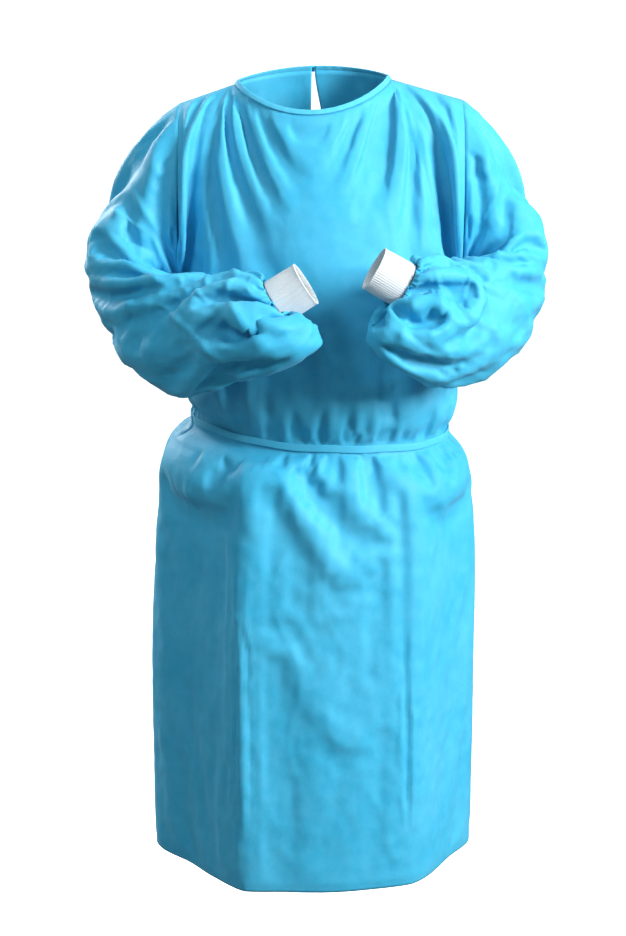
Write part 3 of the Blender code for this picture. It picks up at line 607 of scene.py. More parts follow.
def drape(start, base, cut, free, reach, stiffness, rounds, around, keep_out=None):
    """Lets the cloth settle: each round moves all neighbours towards their cut distances.

    Points where free is 0 stay put, and none moves further than its reach from the base. Points two
    apart also resist coming close, which is the cloth's stiffness.
    """
    across, down = cut
    rows, columns = start.shape[:2]
    slant = np.hypot((across[:-1] + across[1:]) / 2, (down + shifted(down, 1)) / 2)
    inner = np.ones(columns) if around else (np.arange(columns) < columns - 1) * 1.0
    inner_two = np.ones(columns) if around else (np.arange(columns) < columns - 2) * 1.0
    # the rows and the columns between two linked points, their cut distance, strength, and push only
    links = (
        (0, 1, across, inner, False),
        (1, 0, down, np.ones(columns), False),
        (1, 1, slant, SLANT_STRENGTH * inner, False),
        (1, -1, slant, SLANT_STRENGTH * np.roll(inner, 1), False),
        (0, 2, across + shifted(across, 1), stiffness * inner_two, True),
        (2, 0, down[:-1] + down[1:], stiffness * np.ones(columns), True),
    )
    p = start.copy()
    for _ in range(rounds):
        move, weight = np.zeros_like(p), np.full((rows, columns, 1), 1e-6)
        for row_step, column_step, length, strength, push_only in links:
            here, there = slice(0, rows - row_step), slice(row_step, rows)
            apart = shifted(p, column_step)[there] - p[here]
            now = np.linalg.norm(apart, axis=2) + 1e-9
            off = (now - length) / now
            off = np.minimum(off, 0) if push_only else off
            pull = (off * strength)[..., None] * apart
            share = np.broadcast_to(strength[None, :, None], pull.shape[:2] + (1,))
            move[here] += pull
            weight[here] += share
            move[there] -= shifted(pull, -column_step)
            weight[there] += shifted(share, -column_step)
        p = p + free[..., None] * OVERSHOOT * move / weight
        away = p - base
        far = np.linalg.norm(away, axis=2, keepdims=True)
        p = base + away * np.minimum(1, reach[..., None] / np.maximum(far, 1e-9))
        p = p if keep_out is None else keep_out(p)
    return p


def finer(grid, rows, columns, around):
    """The same surface on more points."""
    down = smooth_path(grid.reshape(len(grid), -1), np.linspace(0, 1, rows)).reshape(rows, -1, 3)
    turned = down.transpose(1, 0, 2)
    if not around:
        return smooth_path(turned.reshape(len(turned), -1), np.linspace(0, 1, columns)).reshape(
            columns, rows, 3).transpose(1, 0, 2)
    wide = np.concatenate([turned[-2:], turned, turned[:3]])
    at = (2 + np.arange(columns) * len(turned) / columns) / (len(wide) - 1)
    return smooth_path(wide.reshape(len(wide), -1), at).reshape(columns, rows, 3).transpose(1, 0, 2)


def crisper(grid, amount, around):
    """Draws the ridges and the valleys of the cloth up sharper."""
    soft = grid
    for _ in range(3):
        soft = np.concatenate([soft[:1], (soft[:-2] + 2 * soft[1:-1] + soft[2:]) / 4, soft[-1:]])
        mixed = (shifted(soft, 1) + 2 * soft + shifted(soft, -1)) / 4
        if not around:
            mixed[:, [0, -1]] = soft[:, [0, -1]]
        soft = mixed
    return grid + amount * (grid - soft)


def settled_cloth(seeded, base, more, free, reach, every, around, beside_body=False):
    """Folds found on a coarse grid first, and smaller ones then on the fine grid.

    The cloth has more of its length across and down than the base, by the two shares in more.
    """
    def settled(p, base, more_across, more_down, free, reach, stiffness, rounds):
        cut = cut_lengths(base, more_across, more_down)
        keep_out = clear_of_body(base) if beside_body else None
        return drape(p, base, cut, free, reach, stiffness, rounds, around, keep_out)

    coarse = tuple(slice(None, None, n) for n in every)
    part = [v[coarse] for v in (seeded, base, *more, free, reach)]
    large = settled(*part, COARSE_STIFFNESS, COARSE_ROUNDS)
    p = finer(large, *base.shape[:2], around)
    seam = free[..., None]
    p = base + (p - base) * seam
    p = p + seam * grid_normals(p, around) * (FINE_SEED * crumple(p, 0.022, 19))[..., None]
    return settled(p, base, *more, free, reach, FINE_STIFFNESS, FINE_ROUNDS)


def dressed_panel(name, grid, normals):
    """A panel with its creases, gathers at the belt and small folds."""
    fade = edge_fade(grid, False, 0.045)
    crossed = name != "front"
    near_edge = smoothstep((np.abs(grid[..., 0]) - 0.055) / 0.05) if crossed else 1.0
    depth = 0.5 + 1.3 * smoothstep((-0.26 - grid[..., 2]) / 0.15)
    creased = grid + normals * (depth * crease_offset(grid, normals[..., 1], BODY_CREASES) * fade)[..., None]
    chest = bell(grid[..., 0] / CHEST_HALF_WIDTH) * smoothstep((grid[..., 2] + 0.36) / 0.12)
    seed = BODY_SEED * fade * (1 - 0.7 * chest) * crumple(grid * (1.0, 1.0, 0.35), 0.040, 1)
    seeded = creased + normals * seed[..., None]
    drop = 0 if crossed else section_at(BELT_HEIGHT, "front_drop")
    from_belt = np.abs(grid[..., 2] - BELT_HEIGHT + drop)
    gathered = bell(from_belt / BELT_GATHER_REACH)
    calm = 1 - 0.7 * smoothstep((-0.56 - grid[..., 2]) / 0.15)
    more_across = (BODY_MORE[0] * calm * (1 - chest) + BELT_MORE * gathered) * near_edge
    more_down = BODY_MORE[1] * (1 - chest) * near_edge
    free = (fade > 0.002) * 1.0
    free[0] = free[1]
    reach = 0.4 * MM + BODY_REACH * calm * smoothstep(fade * 1.4) * (1 - 0.7 * chest)
    reach = reach * smoothstep(from_belt / 0.035) * (0.15 + 0.85 * near_edge)
    more = more_across + 0 * fade, more_down + 0 * fade
    p = settled_cloth(seeded, creased, more, free, reach, (4, 4), around=False)
    p = p + (crisper(p, 1.0, False) - p) * (fade * near_edge * (1 - 0.6 * chest))[..., None]
    lift = 0.40 * MM * crumple(grid * (1.0, 1.0, 0.7), 0.012, 2) * fade
    lift = lift + BODY_RIDGE * ridges(grid * (1.0, 1.0, 0.5), 0.070, 5) * fade
    return p + normals * (lift + seam_pucker(edge_fade(grid, False)))[..., None]


def clear_of_body(base):
    """Keeps a sleeve's points as far outside the body as they were, or at least just outside it."""

    def place(p):
        height = np.minimum(p[..., 2], UNDERARM)
        x = p[..., 0] - section_at(height, "centre_x")
        wide, deep = section_at(height, "half_width") + 5 * MM, section_at(height, "front") + 7 * MM
        return x, np.hypot(x / wide, p[..., 1] / deep)

    allowed = np.minimum(1.0, place(base)[1])

    def keep_out(p):
        x, size = place(p)
        grow = np.maximum(1.0, allowed / np.maximum(size, 1e-6)) - 1
        p[..., 0] += x * grow
        p[..., 1] += p[..., 1] * grow
        return p

    return keep_out


def armhole_loop(grids, side):
    """The panels' values along an armhole: down the front from the shoulder, and up the back."""
    column = -1 if side > 0 else 0
    front = grids["front"][BODY_ROWS:, column]
    back = grids["left" if side > 0 else "right"][BODY_ROWS:, 0]
    loop = np.concatenate([front[::-1][:-1], back[:-1]])
    between = (loop + np.roll(loop, -1, axis=0)) / 2
    return np.stack([loop, between], 1).reshape(-1, 3)


def smooth_path(rows, share):
    """A smooth curve through evenly spaced rows of values (Catmull-Rom)."""
    values = np.array(rows, float)
    padded = np.vstack([2 * values[0] - values[1], values, 2 * values[-1] - values[-2]])
    at = np.clip(share, 0, 1) * (len(values) - 1)
    i = np.clip(np.floor(at).astype(int), 0, len(values) - 2)
    t = (at - i)[:, None]
    a, b, c, d = (padded[i + k] for k in range(4))
    return 0.5 * (2 * b + (c - a) * t + (2 * a - 5 * b + 4 * c - d) * t**2 + (3 * b - a - 3 * c + d) * t**3)


def arm_frames(stations, side):
    """Down an arm: the centres, the half-heights, the other columns, and the three axes of each ring."""
    table = smooth_path(stations, RING_SHARES)
    elbow, crook = table[:, :3], table[:, 3:6]
    centres = (elbow + crook) / 2
    outward = unit(elbow - crook)
    along = np.gradient(centres, RING_SHARES, axis=0)
    along[0] = (side, 0, 0)
    along = unit(along - outward * (along * outward).sum(axis=1, keepdims=True))
    near = side * np.cross(outward, along)
    return centres, np.linalg.norm(elbow - crook, axis=1) / 2, table[:, 6:], along, outward, near


def sleeve_offset(share, turn):
    """How far a sleeve's folds and gathers lift it at a share of its length and a turn round it."""
    to_crook = (1 - np.cos(turn)) / 2
    facing = np.where(np.sin(turn) > 0, 1, -1)
    total = np.zeros(np.broadcast(share, turn).shape)
    for f in SLEEVE_FOLDS:
        line = f.at_elbow + (f.at_crook - f.at_elbow) * to_crook
        crest = bell((share - line) / f.half_width)
        total = total + f.height * crest * smoothstep(1.1 * np.abs(np.sin(turn))) * (facing == f.side)
    gather = smoothstep((share - GATHER_START) / (1 - GATHER_START))
    sewn = 1 - smoothstep((share - 0.93) / 0.07)
    return total * (1 - gather) + GATHER_HEIGHT * gather * sewn * np.cos(GATHERS * turn)


def fine_gathers(share, turn):
    """Uneven small pleats that run up the sleeve from the cuff."""
    wavy = turn + 0.35 * np.sin(2 * turn + 0.6) + 0.12 * np.sin(5 * turn + 2.0)
    pleat = 0.6 * np.cos(23 * wavy) + 0.4 * np.cos(37 * wavy + 1.0)
    reach = smoothstep((share - 0.86) / 0.12)
    return 1.1 * MM * reach * pleat


def sleeve_surface(panels, stations, side):
    """The points of a sleeve from the armhole to the cuff, each one's share and turn, and its end's axes."""
    loop = armhole_loop(panels, side)
    centres, height, columns, along, outward, near = arm_frames(stations, side)
    from_centre = loop - centres[0]
    up, back = from_centre @ outward[0] / height[0], from_centre @ near[0] / columns[0, 0]
    first_turn = np.unwrap(np.arctan2(back, up))
    count = len(loop)
    direction = np.sign(first_turn[1] - first_turn[0])
    even_turn = first_turn.mean() + direction * 2 * math.pi * (np.arange(count) - (count - 1) / 2) / count
    rings, turns = [], []
    for k, s in enumerate(RING_SHARES):
        blend = smoothstep(s / ARMHOLE_BLEND)
        turn = first_turn + (even_turn - first_turn) * blend
        near_reach, away_reach, ahead = columns[k]
        u = up + (np.cos(turn) - up) * blend
        v = back + (np.sin(turn) - back) * blend
        wide = v * np.where(v > 0, near_reach, away_reach)
        ring = centres[k] + (u * height[k])[:, None] * outward[k] + wide[:, None] * near[k]
        rings.append(ring + (ahead * np.clip(np.cos(turn), 0, 1) ** 1.3)[:, None] * along[k])
        turns.append(turn)
    grid, turns = np.array(rings), np.array(turns)
    slack = smoothstep((0.45 - np.cos(turns[1:-1, :, None])) / 0.9) / 2
    outside = side * loop[:, 0] + SIDE_CLEARANCE * np.minimum(np.arange(1, len(grid) - 1), 4)[:, None]
    for _ in range(CROOK_ROUNDS):
        grid[1:-1] += slack * ((grid[:-2] + grid[2:]) / 2 - grid[1:-1])
        in_front = np.clip((-0.05 - grid[1:-1, :, 1]) / 0.15, 0, 1)
        grid[1:-1, :, 0] = side * np.maximum(side * grid[1:-1, :, 0], outside - 0.35 * in_front)
    step = np.linspace(0, 1, SLEEVE_ROWS + 1)
    shares = np.interp(step * (len(RING_SHARES) - 1), np.arange(len(RING_SHARES)), RING_SHARES)[:, None]
    fine = smooth_path(grid.reshape(len(grid), -1), step).reshape(-1, count, 3)
    turns = smooth_path(turns, step)
    return fine, shares, turns, along[-1], outward[-1], near[-1]


def dressed_sleeve(surface):
    """A sleeve with its folds, creases and gathers, and its outward normals."""
    grid, shares, turns = surface[:3]
    facing = grid_normals(grid, around=True)
    middle = slice(len(grid) // 8, len(grid) * 3 // 4)
    outwards = np.sign(((grid - grid.mean(axis=1, keepdims=True)) * facing)[middle].sum())
    off_seam = smoothstep(shares / 0.05)
    seed = 0.7 * sleeve_offset(shares, turns) + SLEEVE_SEED * crumple(grid, 0.050, 9)
    seeded = grid + outwards * facing * (seed * off_seam)[..., None]
    crook = smoothstep((0.5 - np.cos(turns)) / 1.2) * smoothstep((shares - 0.10) / 0.2)
    crook = crook * smoothstep((0.85 - shares) / 0.2)
    cuff = smoothstep((shares - 0.74) / 0.2)
    more_across = (SLEEVE_MORE[0] + CUFF_MORE[0] * cuff) * smoothstep(shares / 0.08) + 0 * turns
    more_down = SLEEVE_MORE[1] + CROOK_MORE * crook + CUFF_MORE[1] * cuff
    more_down = more_down * smoothstep(shares / 0.08)
    free = np.ones(turns.shape)
    free[[0, -1]] = 0
    reach = SLEEVE_REACH * smoothstep(shares / 0.12) + 0 * turns + 0.3 * MM
    more = more_across, more_down
    p = settled_cloth(seeded, grid, more, free, reach, (3, 4), around=True, beside_body=True)
    p = crisper(p, 1.0, True)
    p[[0, -1]] = grid[[0, -1]]
    normals = outwards * grid_normals(p, around=True)
    crumpled = smoothstep((shares - 0.4) / 0.3)
    lift = 0.5 * MM * crumple(p, 0.012, 4) + (0.6 + 1.8 * crumpled) * MM * ridges(p, 0.045, 11)
    lift = lift + 0.9 * MM * crumpled * ridges(p, 0.024, 12)
    lift = lift + 1.6 * crease_offset(p, normals[..., 1], SLEEVE_CREASES)
    lift = lift * off_seam * smoothstep((1 - shares) / 0.06)
    lift = lift + 0.5 * fine_gathers(shares, turns) - PUCKER * (1 - smoothstep(shares / 0.02))
    p = p + normals * lift[..., None]
    return p, outwards * grid_normals(p, around=True)


def set_sockets(node, values):
    """Sets sockets of a shader node to plain values."""
    for socket, value in values.items():
        node.inputs[socket].default_value = value


class Value:
    """A number on a shader socket. Python's operators on it add Math nodes."""

    def __init__(self, shader, socket):
        self.shader = shader
        self.socket = socket

    def maths(self, operation, *others):
        inputs = dict(enumerate((self,) + others))
        return self.shader.node("ShaderNodeMath", {"operation": operation}, inputs)

    def __add__(self, other):
        return self.maths("ADD", other)

    def __mul__(self, other):
        return self.maths("MULTIPLY", other)

    def __sub__(self, other):
        return self.maths("SUBTRACT", other)

    def __rsub__(self, other):
        return (self * -1.0).maths("ADD", other)

    def __truediv__(self, other):
        return self.maths("DIVIDE", other)

    __radd__ = __add__
    __rmul__ = __mul__

    def fraction(self):
        return self.maths("FRACT")

    def absolute(self):
        return self.maths("ABSOLUTE")

    def between(self, low, high):
        """0 where this is below low, 1 above high, and smooth between them."""
        settings = {"interpolation_type": "SMOOTHSTEP"}
        return self.shader.node("ShaderNodeMapRange", settings, {0: self, 1: low, 2: high})


class Shader:
    """One material and its nodes."""

    def __init__(self, name, roughness, sheen):
        self.material = bpy.data.materials.new(name)
        self.material.use_nodes = True
        self.tree = self.material.node_tree
        self.surface = self.tree.nodes["Principled BSDF"]
        set_sockets(self.surface, {
            "Roughness": roughness,
            "Sheen Weight": sheen,
            "Sheen Roughness": 0.45,
            "Specular IOR Level": 0.3,
        })

    def plug(self, socket, value):
        if isinstance(value, Value):
            self.tree.links.new(value.socket, socket)
        else:
            socket.default_value = value

    def node(self, kind, settings, inputs, output=0):
        made = self.tree.nodes.new(kind)
        for key, value in settings.items():
            setattr(made, key, value)
        for key, value in inputs.items():
            self.plug(made.inputs[key], value)
        return Value(self, made.outputs[output])

    def set(self, socket, value):
        self.plug(self.surface.inputs[socket], value)

    def mix(self, share, first, second):
        inputs = {0: share, 6: first, 7: second}
        return self.node("ShaderNodeMix", {"data_type": "RGBA"}, inputs, output=2)

    def noise(self, place, scale, detail=3.0, roughness=0.55):
        inputs = {"Vector": place, "Scale": scale, "Detail": detail, "Roughness": roughness}
        return self.node("ShaderNodeTexNoise", {}, inputs)

    def cloth_place(self):
        """The place on the flat cloth in metres, and its parts across and down."""
        flat = self.node("ShaderNodeUVMap", {"uv_map": "cloth"}, {})
        parts = [self.node("ShaderNodeSeparateXYZ", {}, {0: flat}, output=k) for k in (0, 1)]
        return flat, *parts

    def scaled(self, place, by):
        return self.node("ShaderNodeVectorMath", {"operation": "MULTIPLY"}, {0: place, 1: by})

    def bump(self, height, distance, strength, below=None):
        inputs = {"Height": height, "Distance": distance, "Strength": strength}
        if below:
            inputs["Normal"] = below
        return self.node("ShaderNodeBump", {}, inputs)


DOT_PITCH = 2.0 * MM
RIB_PITCH = 1.35 * MM
LOOP_PITCH = 1.1 * MM


def nonwoven(name, deep, pale, roughness=0.56):
    """Spunbond cloth: a haze of fibres, bonded by a grid of small pressed dots."""
    s = Shader(name, roughness, 0.08)
    place = s.node("ShaderNodeTexCoord", {}, {}, output="Object")
    flat, u, v = s.cloth_place()
    across = ((u + v) / DOT_PITCH).fraction() - 0.5
    down = ((u - v) / DOT_PITCH).fraction() - 0.5
    dots = 1.0 - (across * across + down * down).between(0.03, 0.09)
    cloud = s.noise(place, 7.0, 2.0).between(0.32, 0.68)
    blotch = s.noise(place, 55.0, 4.0).between(0.30, 0.72)
    fibres = s.noise(s.scaled(flat, (420.0, 150.0, 1.0)), 1.0, 5.0, 0.7)
    share = cloud * 0.22 + blotch * 0.16 + fibres * 0.40 + 0.11
    colour = s.mix(share, deep, pale)
    colour = s.mix(dots * 0.22, colour, tuple(0.8 * c for c in deep[:3]) + (1.0,))
    s.set("Base Color", colour)
    s.set("Roughness", roughness + 0.10 * blotch - 0.14 * dots)
    relief = s.bump(fibres, 0.25 * MM, 0.5)
    s.set("Normal", s.bump(1.0 - dots, 0.18 * MM, 0.6, relief))
    return s.material


def knit(name, colour, shade):
    """Ribbed knit: rows of small loops along each rib, with painted shade in the grooves between the ribs
    and between the rows of loops.
    """
    s = Shader(name, 0.88, 0.45)
    flat, u, v = s.cloth_place()
    wale = (u / RIB_PITCH).fraction() - 0.5
    lean = wale.absolute() * 0.9
    loop = ((v / LOOP_PITCH + lean).fraction() - 0.5).absolute()
    loops = loop.between(0.10, 0.45)
    between = wale.absolute().between(0.30, 0.50)
    fuzz = s.noise(s.scaled(flat, (900.0, 900.0, 1.0)), 1.0, 4.0, 0.7)
    # Painted shade: the colour goes towards the shade colour in the sunk grooves between rows of loops and
    # between ribs, plus a random fuzz
    share = loops * 0.45 + between * 0.35 + fuzz * 0.20
    s.set("Base Color", s.mix(share, colour, shade))
    s.set("Roughness", 0.82 + 0.12 * fuzz)
    s.set("Normal", s.bump(1.0 - (loops * 0.6 + between * 0.6), 0.35 * MM, 0.7, s.bump(fuzz, 0.1 * MM, 0.5)))
    return s.material


def cloth_object(name, grid, normals, finish, thick, around=False):
    """A sheet on a grid of points, its cloth thickness inside, with flat cloth sizes as its UV map."""
    bm = bmesh.new()
    verts = [[bm.verts.new(p) for p in row] for row in grid]
    uv = bm.loops.layers.uv.new("cloth")
    closed = np.concatenate([grid, grid[:, :1]], axis=1) if around else grid
    across = lengths_along(closed, 1).mean(axis=0)[None, :] + np.zeros(closed.shape[:2])
    down = lengths_along(closed)
    rows, columns = closed.shape[:2]
    middle = grid[rows // 2, 0], grid[rows // 2, 1], grid[rows // 2 + 1, 1]
    turned = np.cross(middle[1] - middle[0], middle[2] - middle[0]) @ normals[rows // 2, 0] < 0
    for i in range(rows - 1):
        for j in range(columns - 1):
            corners = ((i, j), (i, j + 1), (i + 1, j + 1), (i + 1, j))
            corners = corners[::-1] if turned else corners
            face = bm.faces.new([verts[r][c % grid.shape[1]] for r, c in corners])
            face.smooth = True
            for loop, (r, c) in zip(face.loops, corners):
                loop[uv].uv = (across[r, c], down[r, c])
    made = mesh_object(name, bm, finish)
    wall = made.modifiers.new("thickness", "SOLIDIFY")
    wall.thickness = thick
    wall.offset = -1.0
    return made


def mesh_object(name, bm, finish):
    """A finished mesh as a piece of the scene."""
    mesh = bpy.data.meshes.new(name)
    bm.to_mesh(mesh)
    bm.free()
    mesh.materials.append(finish)
    made = bpy.data.objects.new(name, mesh)
    bpy.context.scene.collection.objects.link(made)
    return made


def tangents(path, closed=False):
    """The unit direction of a path at each of its points."""
    if closed:
        return unit(np.roll(path, -1, axis=0) - np.roll(path, 1, axis=0))
    return unit(np.gradient(path, axis=0))


def strip_object(name, path, normals, across, width, thick, finish, closed=False):
    """A folded strip of cloth along a path: rounded edges, flat faces, its width along `across`."""
    turn = 2 * math.pi * (np.arange(STRIP_SIDES) + 0.5) / STRIP_SIDES
    half, round_off = width / 2, thick / 2
    u = np.sign(np.cos(turn)) * np.abs(np.cos(turn)) ** 0.35 * half
    v = np.sign(np.sin(turn)) * np.abs(np.sin(turn)) ** 0.80 * round_off
    bm = bmesh.new()
    rings = []
    for p, n, w in zip(path, normals, across):
        rings.append([bm.verts.new(p + w * a + n * b) for a, b in zip(u, v)])
    uv = bm.loops.layers.uv.new("cloth")
    run = lengths_along(path)
    round_run = lengths_along(np.stack([np.append(u, u[0]), np.append(v, v[0])], -1))
    count = len(rings) if closed else len(rings) - 1
    for i in range(count):
        j = (i + 1) % len(rings)
        run_end = run[-1] + np.linalg.norm(path[0] - path[-1]) if j == 0 else run[j]
        for k in range(STRIP_SIDES):
            m = (k + 1) % STRIP_SIDES
            face = bm.faces.new((rings[i][k], rings[i][m], rings[j][m], rings[j][k]))
            face.smooth = True
            corners = ((k, run[i]), (k + 1, run[i]), (k + 1, run_end), (k, run_end))
            for loop, (corner, along) in zip(face.loops, corners):
                loop[uv].uv = (round_run[corner], along)
    if not closed:
        bm.faces.new(rings[0])
        bm.faces.new(rings[-1])
    bmesh.ops.recalc_face_normals(bm, faces=bm.faces)
    return mesh_object(name, bm, finish)


def cuff_object(name, surface, stations, finish):
    """A ribbed knit tube: ribs that wander a little, drawn in at the seam, with a rolled free edge."""
    along, outward, near = surface[3:]
    last = np.array(stations[-1])
    centre = (last[0:3] + last[3:6]) / 2
    ribs, per_rib, rows = 58, 6, 36
    count = ribs * per_rib
    turn = 2 * math.pi * np.arange(count) / count
    share = np.linspace(0, 1, rows + 1)[:, None]
    rib = 0.75 * MM * np.abs(np.cos(ribs * turn / 2 + 0.6 * np.sin(3.0 * share + turn))) ** 0.7
    draw_in = -0.5 * MM * np.exp(-share / 0.04) + 0.5 * MM * np.sin(2 * turn + 5 * share) * share
    rolled = 0.7 * MM * bell((1 - share) / 0.05)
    radius_lift = rib + draw_in + rolled
    place = centre + along * (share[..., None] * CUFF_LENGTH)
    grid = place + (np.cos(turn) * (CUFF_LONG_RADIUS + radius_lift))[..., None] * outward
    grid = grid + (np.sin(turn) * (CUFF_SHORT_RADIUS + radius_lift))[..., None] * near
    normals = np.cos(turn)[None, :, None] * outward + np.sin(turn)[None, :, None] * near + 0 * grid
    return cloth_object(name, grid, normals, finish, KNIT, around=True)


def belt_path(angle):
    """The belt's line, just outside the cloth and over the step of the overlapping back."""
    base = body_point(angle, np.full_like(angle, BELT_HEIGHT))
    a = np.radians(angle)
    half_width, depth = section_at(BELT_HEIGHT, "half_width"), depth_at(a, BELT_HEIGHT)
    out = unit(np.stack([np.sin(a) / half_width, -np.cos(a) / depth, 0 * a], -1))
    signed = (angle + 360) % 360
    step = smoothstep((signed - 138) / 24) * smoothstep((214 - signed) / 20) * OVERLAP_LIFT
    return base + out * (SEAM_GAP + 1.3 * MM + step)[:, None], out


def belt_object(finish):
    """The belt, which wavers a little in height."""
    angle = np.linspace(-180, 180, 300, endpoint=False)
    path, out = belt_path(angle)
    a = np.radians(angle)
    path = path + np.stack([0 * a, 0 * a, 0.8 * MM * np.sin(5 * a) + 0.5 * MM * np.sin(13 * a + 1)], -1)
    up = unit(np.cross(out, tangents(path, closed=True)))
    return strip_object("belt_strip", path, out, up, BELT_WIDTH, BELT_THICK, finish, closed=True)


def binding_object(panels, finish):
    """The folded binding on the neckline, from one back's edge round to the other's."""
    in_neck = int(round(HPS_ANGLE / (90 / BACK_COLUMNS)))
    middle = FRONT_COLUMNS // 2
    path = np.concatenate(
        [
            panels["right"][-1, -1 - in_neck :][::-1],
            panels["front"][-1, middle - in_neck + 1 : middle + in_neck],
            panels["left"][-1, -1 - in_neck :],
        ]
    )
    turn = np.linspace(-math.pi, math.pi, len(path))
    up = unit(np.stack([-0.75 * np.sin(turn), 0.35 * np.cos(turn), 0.8 + 0 * turn], -1))
    out = unit(np.cross(tangents(path), up))
    path = path + up * 3.2 * MM - out * CLOTH / 2
    path = path + out * (0.35 * MM * np.sin(61 * turn) * np.cos(17 * turn))[:, None]
    return strip_object("neck_binding_strip", path, out, up, BINDING_WIDTH, BINDING_THICK, finish)


def knot_object(name, centre, half_size, finish):
    """A strip tied in an overhand knot, drawn tight."""
    t = np.linspace(0, 2 * math.pi, 97)[:-1]
    line = np.stack([np.sin(t) + 2 * np.sin(2 * t), -np.sin(3 * t) * 1.4, np.cos(t) - 2 * np.cos(2 * t)], -1)
    reach = np.array(half_size) - np.array([2.2, 1.2, 2.2]) * MM
    path = np.array(centre) + line / np.array([3.0, 1.4, 3.0]) * reach
    tangent = tangents(path, closed=True)
    out = unit(np.cross(tangent, np.array([0.3, 0.1, 1.0])))
    across = unit(np.cross(out, tangent))
    return strip_object(name, path, out, across, KNOT_WIDTH, KNOT_THICK, finish, closed=True)


def tail_object(name, path, out, twist, finish):
    """A strip's free end, which lies flat but for its twist."""
    tangent = tangents(path)
    across = unit(np.cross(out, tangent) + out * twist[:, None])
    flat_side = unit(np.cross(tangent, across))
    return strip_object(name, path, flat_side, across, TAIL_WIDTH, TAIL_THICK, finish)


def belt_tail_object(name, angle_start, angle_end, length, finish):
    """A belt's free end, which hangs from the knot over the back."""
    share = np.linspace(0, 1, 90) ** 1.3
    height = BELT_HEIGHT - BELT_WIDTH / 2 - 4 * MM - share * length
    angle = angle_start + (angle_end - angle_start) * share
    a = np.radians(angle)
    out = unit(np.stack([np.sin(a), -np.cos(a), 0 * a], -1))
    rise = OVERLAP_LIFT + 2.3 * MM + fold_offset(angle, height) + 2 * MM * (1 - share) ** 4
    path = body_point(angle, height) + out * rise[:, None]
    return tail_object(name, path, out, 0.18 * np.sin(7 * share), finish)


def neck_tail_object(name, grid, n, finish):
    """A neck tie's free end, down the back from the neck and just inside the back's free edge."""
    share = np.linspace(0, 1, 80)
    row = len(grid) - 1 - YOKE_ROWS * (0.03125 + 0.6 * share)
    column = BACK_COLUMNS * (11.62 - 0.32 * share) / 12

    def between(values):
        i, j = np.floor(row).astype(int), np.floor(column).astype(int)
        u, v = (row - i)[:, None], (column - j)[:, None]
        lower = values[i, j] * (1 - v) + values[i, j + 1] * v
        return lower * (1 - u) + (values[i + 1, j] * (1 - v) + values[i + 1, j + 1] * v) * u

    out = unit(between(n))
    path = between(grid) + out * 1.4 * MM
    return tail_object(name, path, out, 0 * share, finish)


def stand_for(piece, node):
    """What every piece needs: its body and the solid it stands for."""
    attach(piece, "root")
    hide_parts(node)


def settle(piece, node):
    """What a sheet needs: its body and the solid it stands for, as every piece does."""
    stand_for(piece, node)


def area_light(name, place, target, size, power, colour):
    data = bpy.data.lights.new(name, "AREA")
    data.shape = "RECTANGLE"
    data.size, data.size_y = size
    data.energy = power
    data.color = colour
    lamp = bpy.data.objects.new(name, data)
    bpy.context.scene.collection.objects.link(lamp)
    lamp.location = place
    lamp.rotation_euler = (Vector(target) - Vector(place)).to_track_quat("-Z", "Y").to_euler()


# The camera: focal length, sensor, place and tilt from straight down
LENS = 71.04
SENSOR = 36.0
EYE = (0.0, -2.659, -0.0856)
TILT = 80.0

# Each light's place, the point it looks at, its width and height, its power and its colour
WARM_WHITE = (1.0, 0.99, 0.97)
COOL_WHITE = (0.80, 0.94, 1.0)
LIGHTS = {
    "key": ((2.7, -1.7, 0.9), (0.0, 0.0, -0.5), (1.0, 1.4), 200, WARM_WHITE),
    "fill": ((-1.6, -2.2, 1.6), (-0.1, 0.0, -0.3), (0.8, 0.8), 30, COOL_WHITE),
    "top": ((0.6, -0.3, 2.4), (0.0, 0.0, -0.3), (1.6, 1.6), 24, (1.0, 1.0, 1.0)),
    "back": ((-2.2, 2.4, 1.1), (0.0, 0.0, -0.5), (1.2, 1.4), 110, WARM_WHITE),
}
SKY = (0.80, 0.95, 1.0, 1.0)
SKY_STRENGTH = 0.26
PALE = (0.93, 0.93, 0.93, 1.0)
WHITE = (1.0, 1.0, 1.0, 1.0)
FLOOR_HEIGHT = -1.48
FLOOR_SIZE = 60.0
BACKDROP_RADIUS = 28.0


def studio():
    """The camera at the photograph's angle, light mostly from the picture's right, and a pale room."""
    camera = bpy.data.cameras.new("camera")
    camera.lens = LENS
    camera.sensor_width = SENSOR
    eye = bpy.data.objects.new("camera", camera)
    bpy.context.scene.collection.objects.link(eye)
    eye.location = EYE
    eye.rotation_euler = (math.radians(TILT), 0.0, 0.0)
    bpy.context.scene.camera = eye
    for name, light in LIGHTS.items():
        area_light(name, *light)
    world = bpy.data.worlds.new("studio")
    bpy.context.scene.world = world
    world.use_nodes = True
    set_sockets(world.node_tree.nodes["Background"], {"Color": SKY, "Strength": SKY_STRENGTH})
    bpy.context.scene.view_settings.view_transform = "Standard"
    bpy.ops.mesh.primitive_plane_add(size=FLOOR_SIZE, location=(0.0, 0.0, FLOOR_HEIGHT))
    floor = bpy.context.object
    floor.name = "floor"
    bpy.ops.mesh.primitive_uv_sphere_add(segments=48, ring_count=24, radius=BACKDROP_RADIUS)
    backdrop = bpy.context.object
    backdrop.name = "backdrop"
    backdrop.visible_shadow = False
    for board in (floor, backdrop):
        pale = bpy.data.materials.new(f"pale {board.name}")
        pale.use_nodes = True
        set_sockets(pale.node_tree.nodes["Principled BSDF"], {
            "Base Color": PALE,
            "Roughness": 0.9,
            "Emission Color": WHITE,
            "Emission Strength": 1.0,
        })
        board.data.materials.append(pale)
        board.visible_diffuse = False
        board.visible_glossy = False
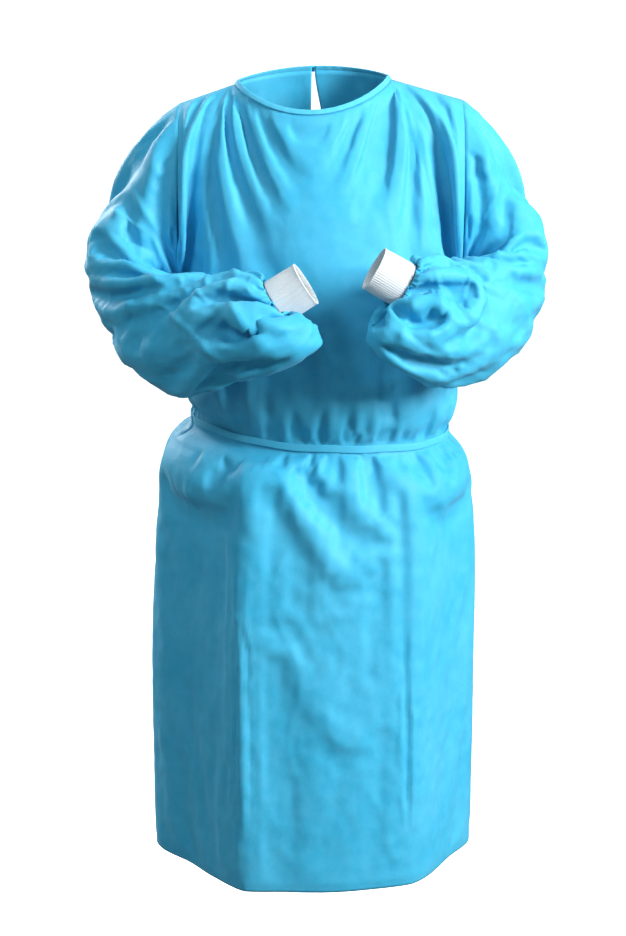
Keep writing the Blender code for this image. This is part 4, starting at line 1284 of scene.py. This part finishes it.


# Each finish's deeper and paler colour, and the knit's colour and the painted shade of its grooves
CLOTH_COLOURS = (0.002, 0.35, 0.60, 1.0), (0.105, 0.53, 0.78, 1.0)
TRIM_COLOURS = (0.02, 0.40, 0.64, 1.0), (0.13, 0.58, 0.82, 1.0)
KNIT_COLOURS = (0.86, 0.88, 0.90, 1.0), (0.58, 0.62, 0.66, 1.0)

# Each belt end's first and last angle, its length, and its flat size
BELT_TAILS = {
    "left": (176.3, 172.5, 0.270, (0.012, 0.27)),
    "right": (180.6, 185.5, 0.310, (0.012, 0.31)),
}

# Half the size of each knot, and where each is
NECK_KNOT = (7 * MM, 4.4 * MM, 5 * MM)
BELT_KNOT = (9 * MM, 5 * MM, 6.5 * MM)
NECK_KNOT_PLACE = (0.0, NECK_BACK + 4.3 * MM, NECK_BACK_RISE + 3 * MM)
BELT_KNOT_ANGLE = 178.0
BELT_KNOT_LIFT = 6.5 * MM


def main():
    cloth = nonwoven("nonwoven", *CLOTH_COLOURS)
    trim = nonwoven("folded nonwoven", *TRIM_COLOURS, roughness=0.66)
    ribbed = knit("ribbed knit", *KNIT_COLOURS)
    panels, normals = panel_surfaces()
    for name, stations, side in (("left", LEFT_ARM, 1), ("right", RIGHT_ARM, -1)):
        surface = sleeve_surface(panels, stations, side)
        grid, n = dressed_sleeve(surface)
        sleeve = cloth_object(f"sleeve_{name}_cloth", grid, n, cloth, CLOTH, around=True)
        settle(sleeve, f"sleeve_{name}")
        cuff = cuff_object(f"cuff_{name}_knit", surface, stations, ribbed)
        settle(cuff, f"cuff_{name}")
    front = cloth_object("front_cloth", dressed_panel("front", panels["front"], normals["front"]),
                         normals["front"], cloth, CLOTH)
    settle(front, "front")
    for name in ("left", "right"):
        grid = dressed_panel(name, panels[name], normals[name])
        back = cloth_object(f"back_{name}_cloth", grid, normals[name], cloth, CLOTH)
        settle(back, f"back_{name}")
        tail = neck_tail_object(f"neck_tail_{name}_strip", grid, normals[name], trim)
        settle(tail, f"neck_tail_{name}")
    settle(binding_object(panels, trim), "neck_binding")
    settle(belt_object(trim), "belt")
    for name, (first, last, length, flat) in BELT_TAILS.items():
        tail = belt_tail_object(f"belt_tail_{name}_strip", first, last, length, trim)
        settle(tail, f"belt_tail_{name}")
    place, out = belt_path(np.array([BELT_KNOT_ANGLE]))
    knots = {
        "neck_knot": (NECK_KNOT_PLACE, NECK_KNOT),
        "belt_knot": (place[0] + out[0] * BELT_KNOT_LIFT, BELT_KNOT),
    }
    for node, (centre, half_size) in knots.items():
        stand_for(knot_object(f"{node}_strip", centre, half_size, trim), node)


main()
studio()
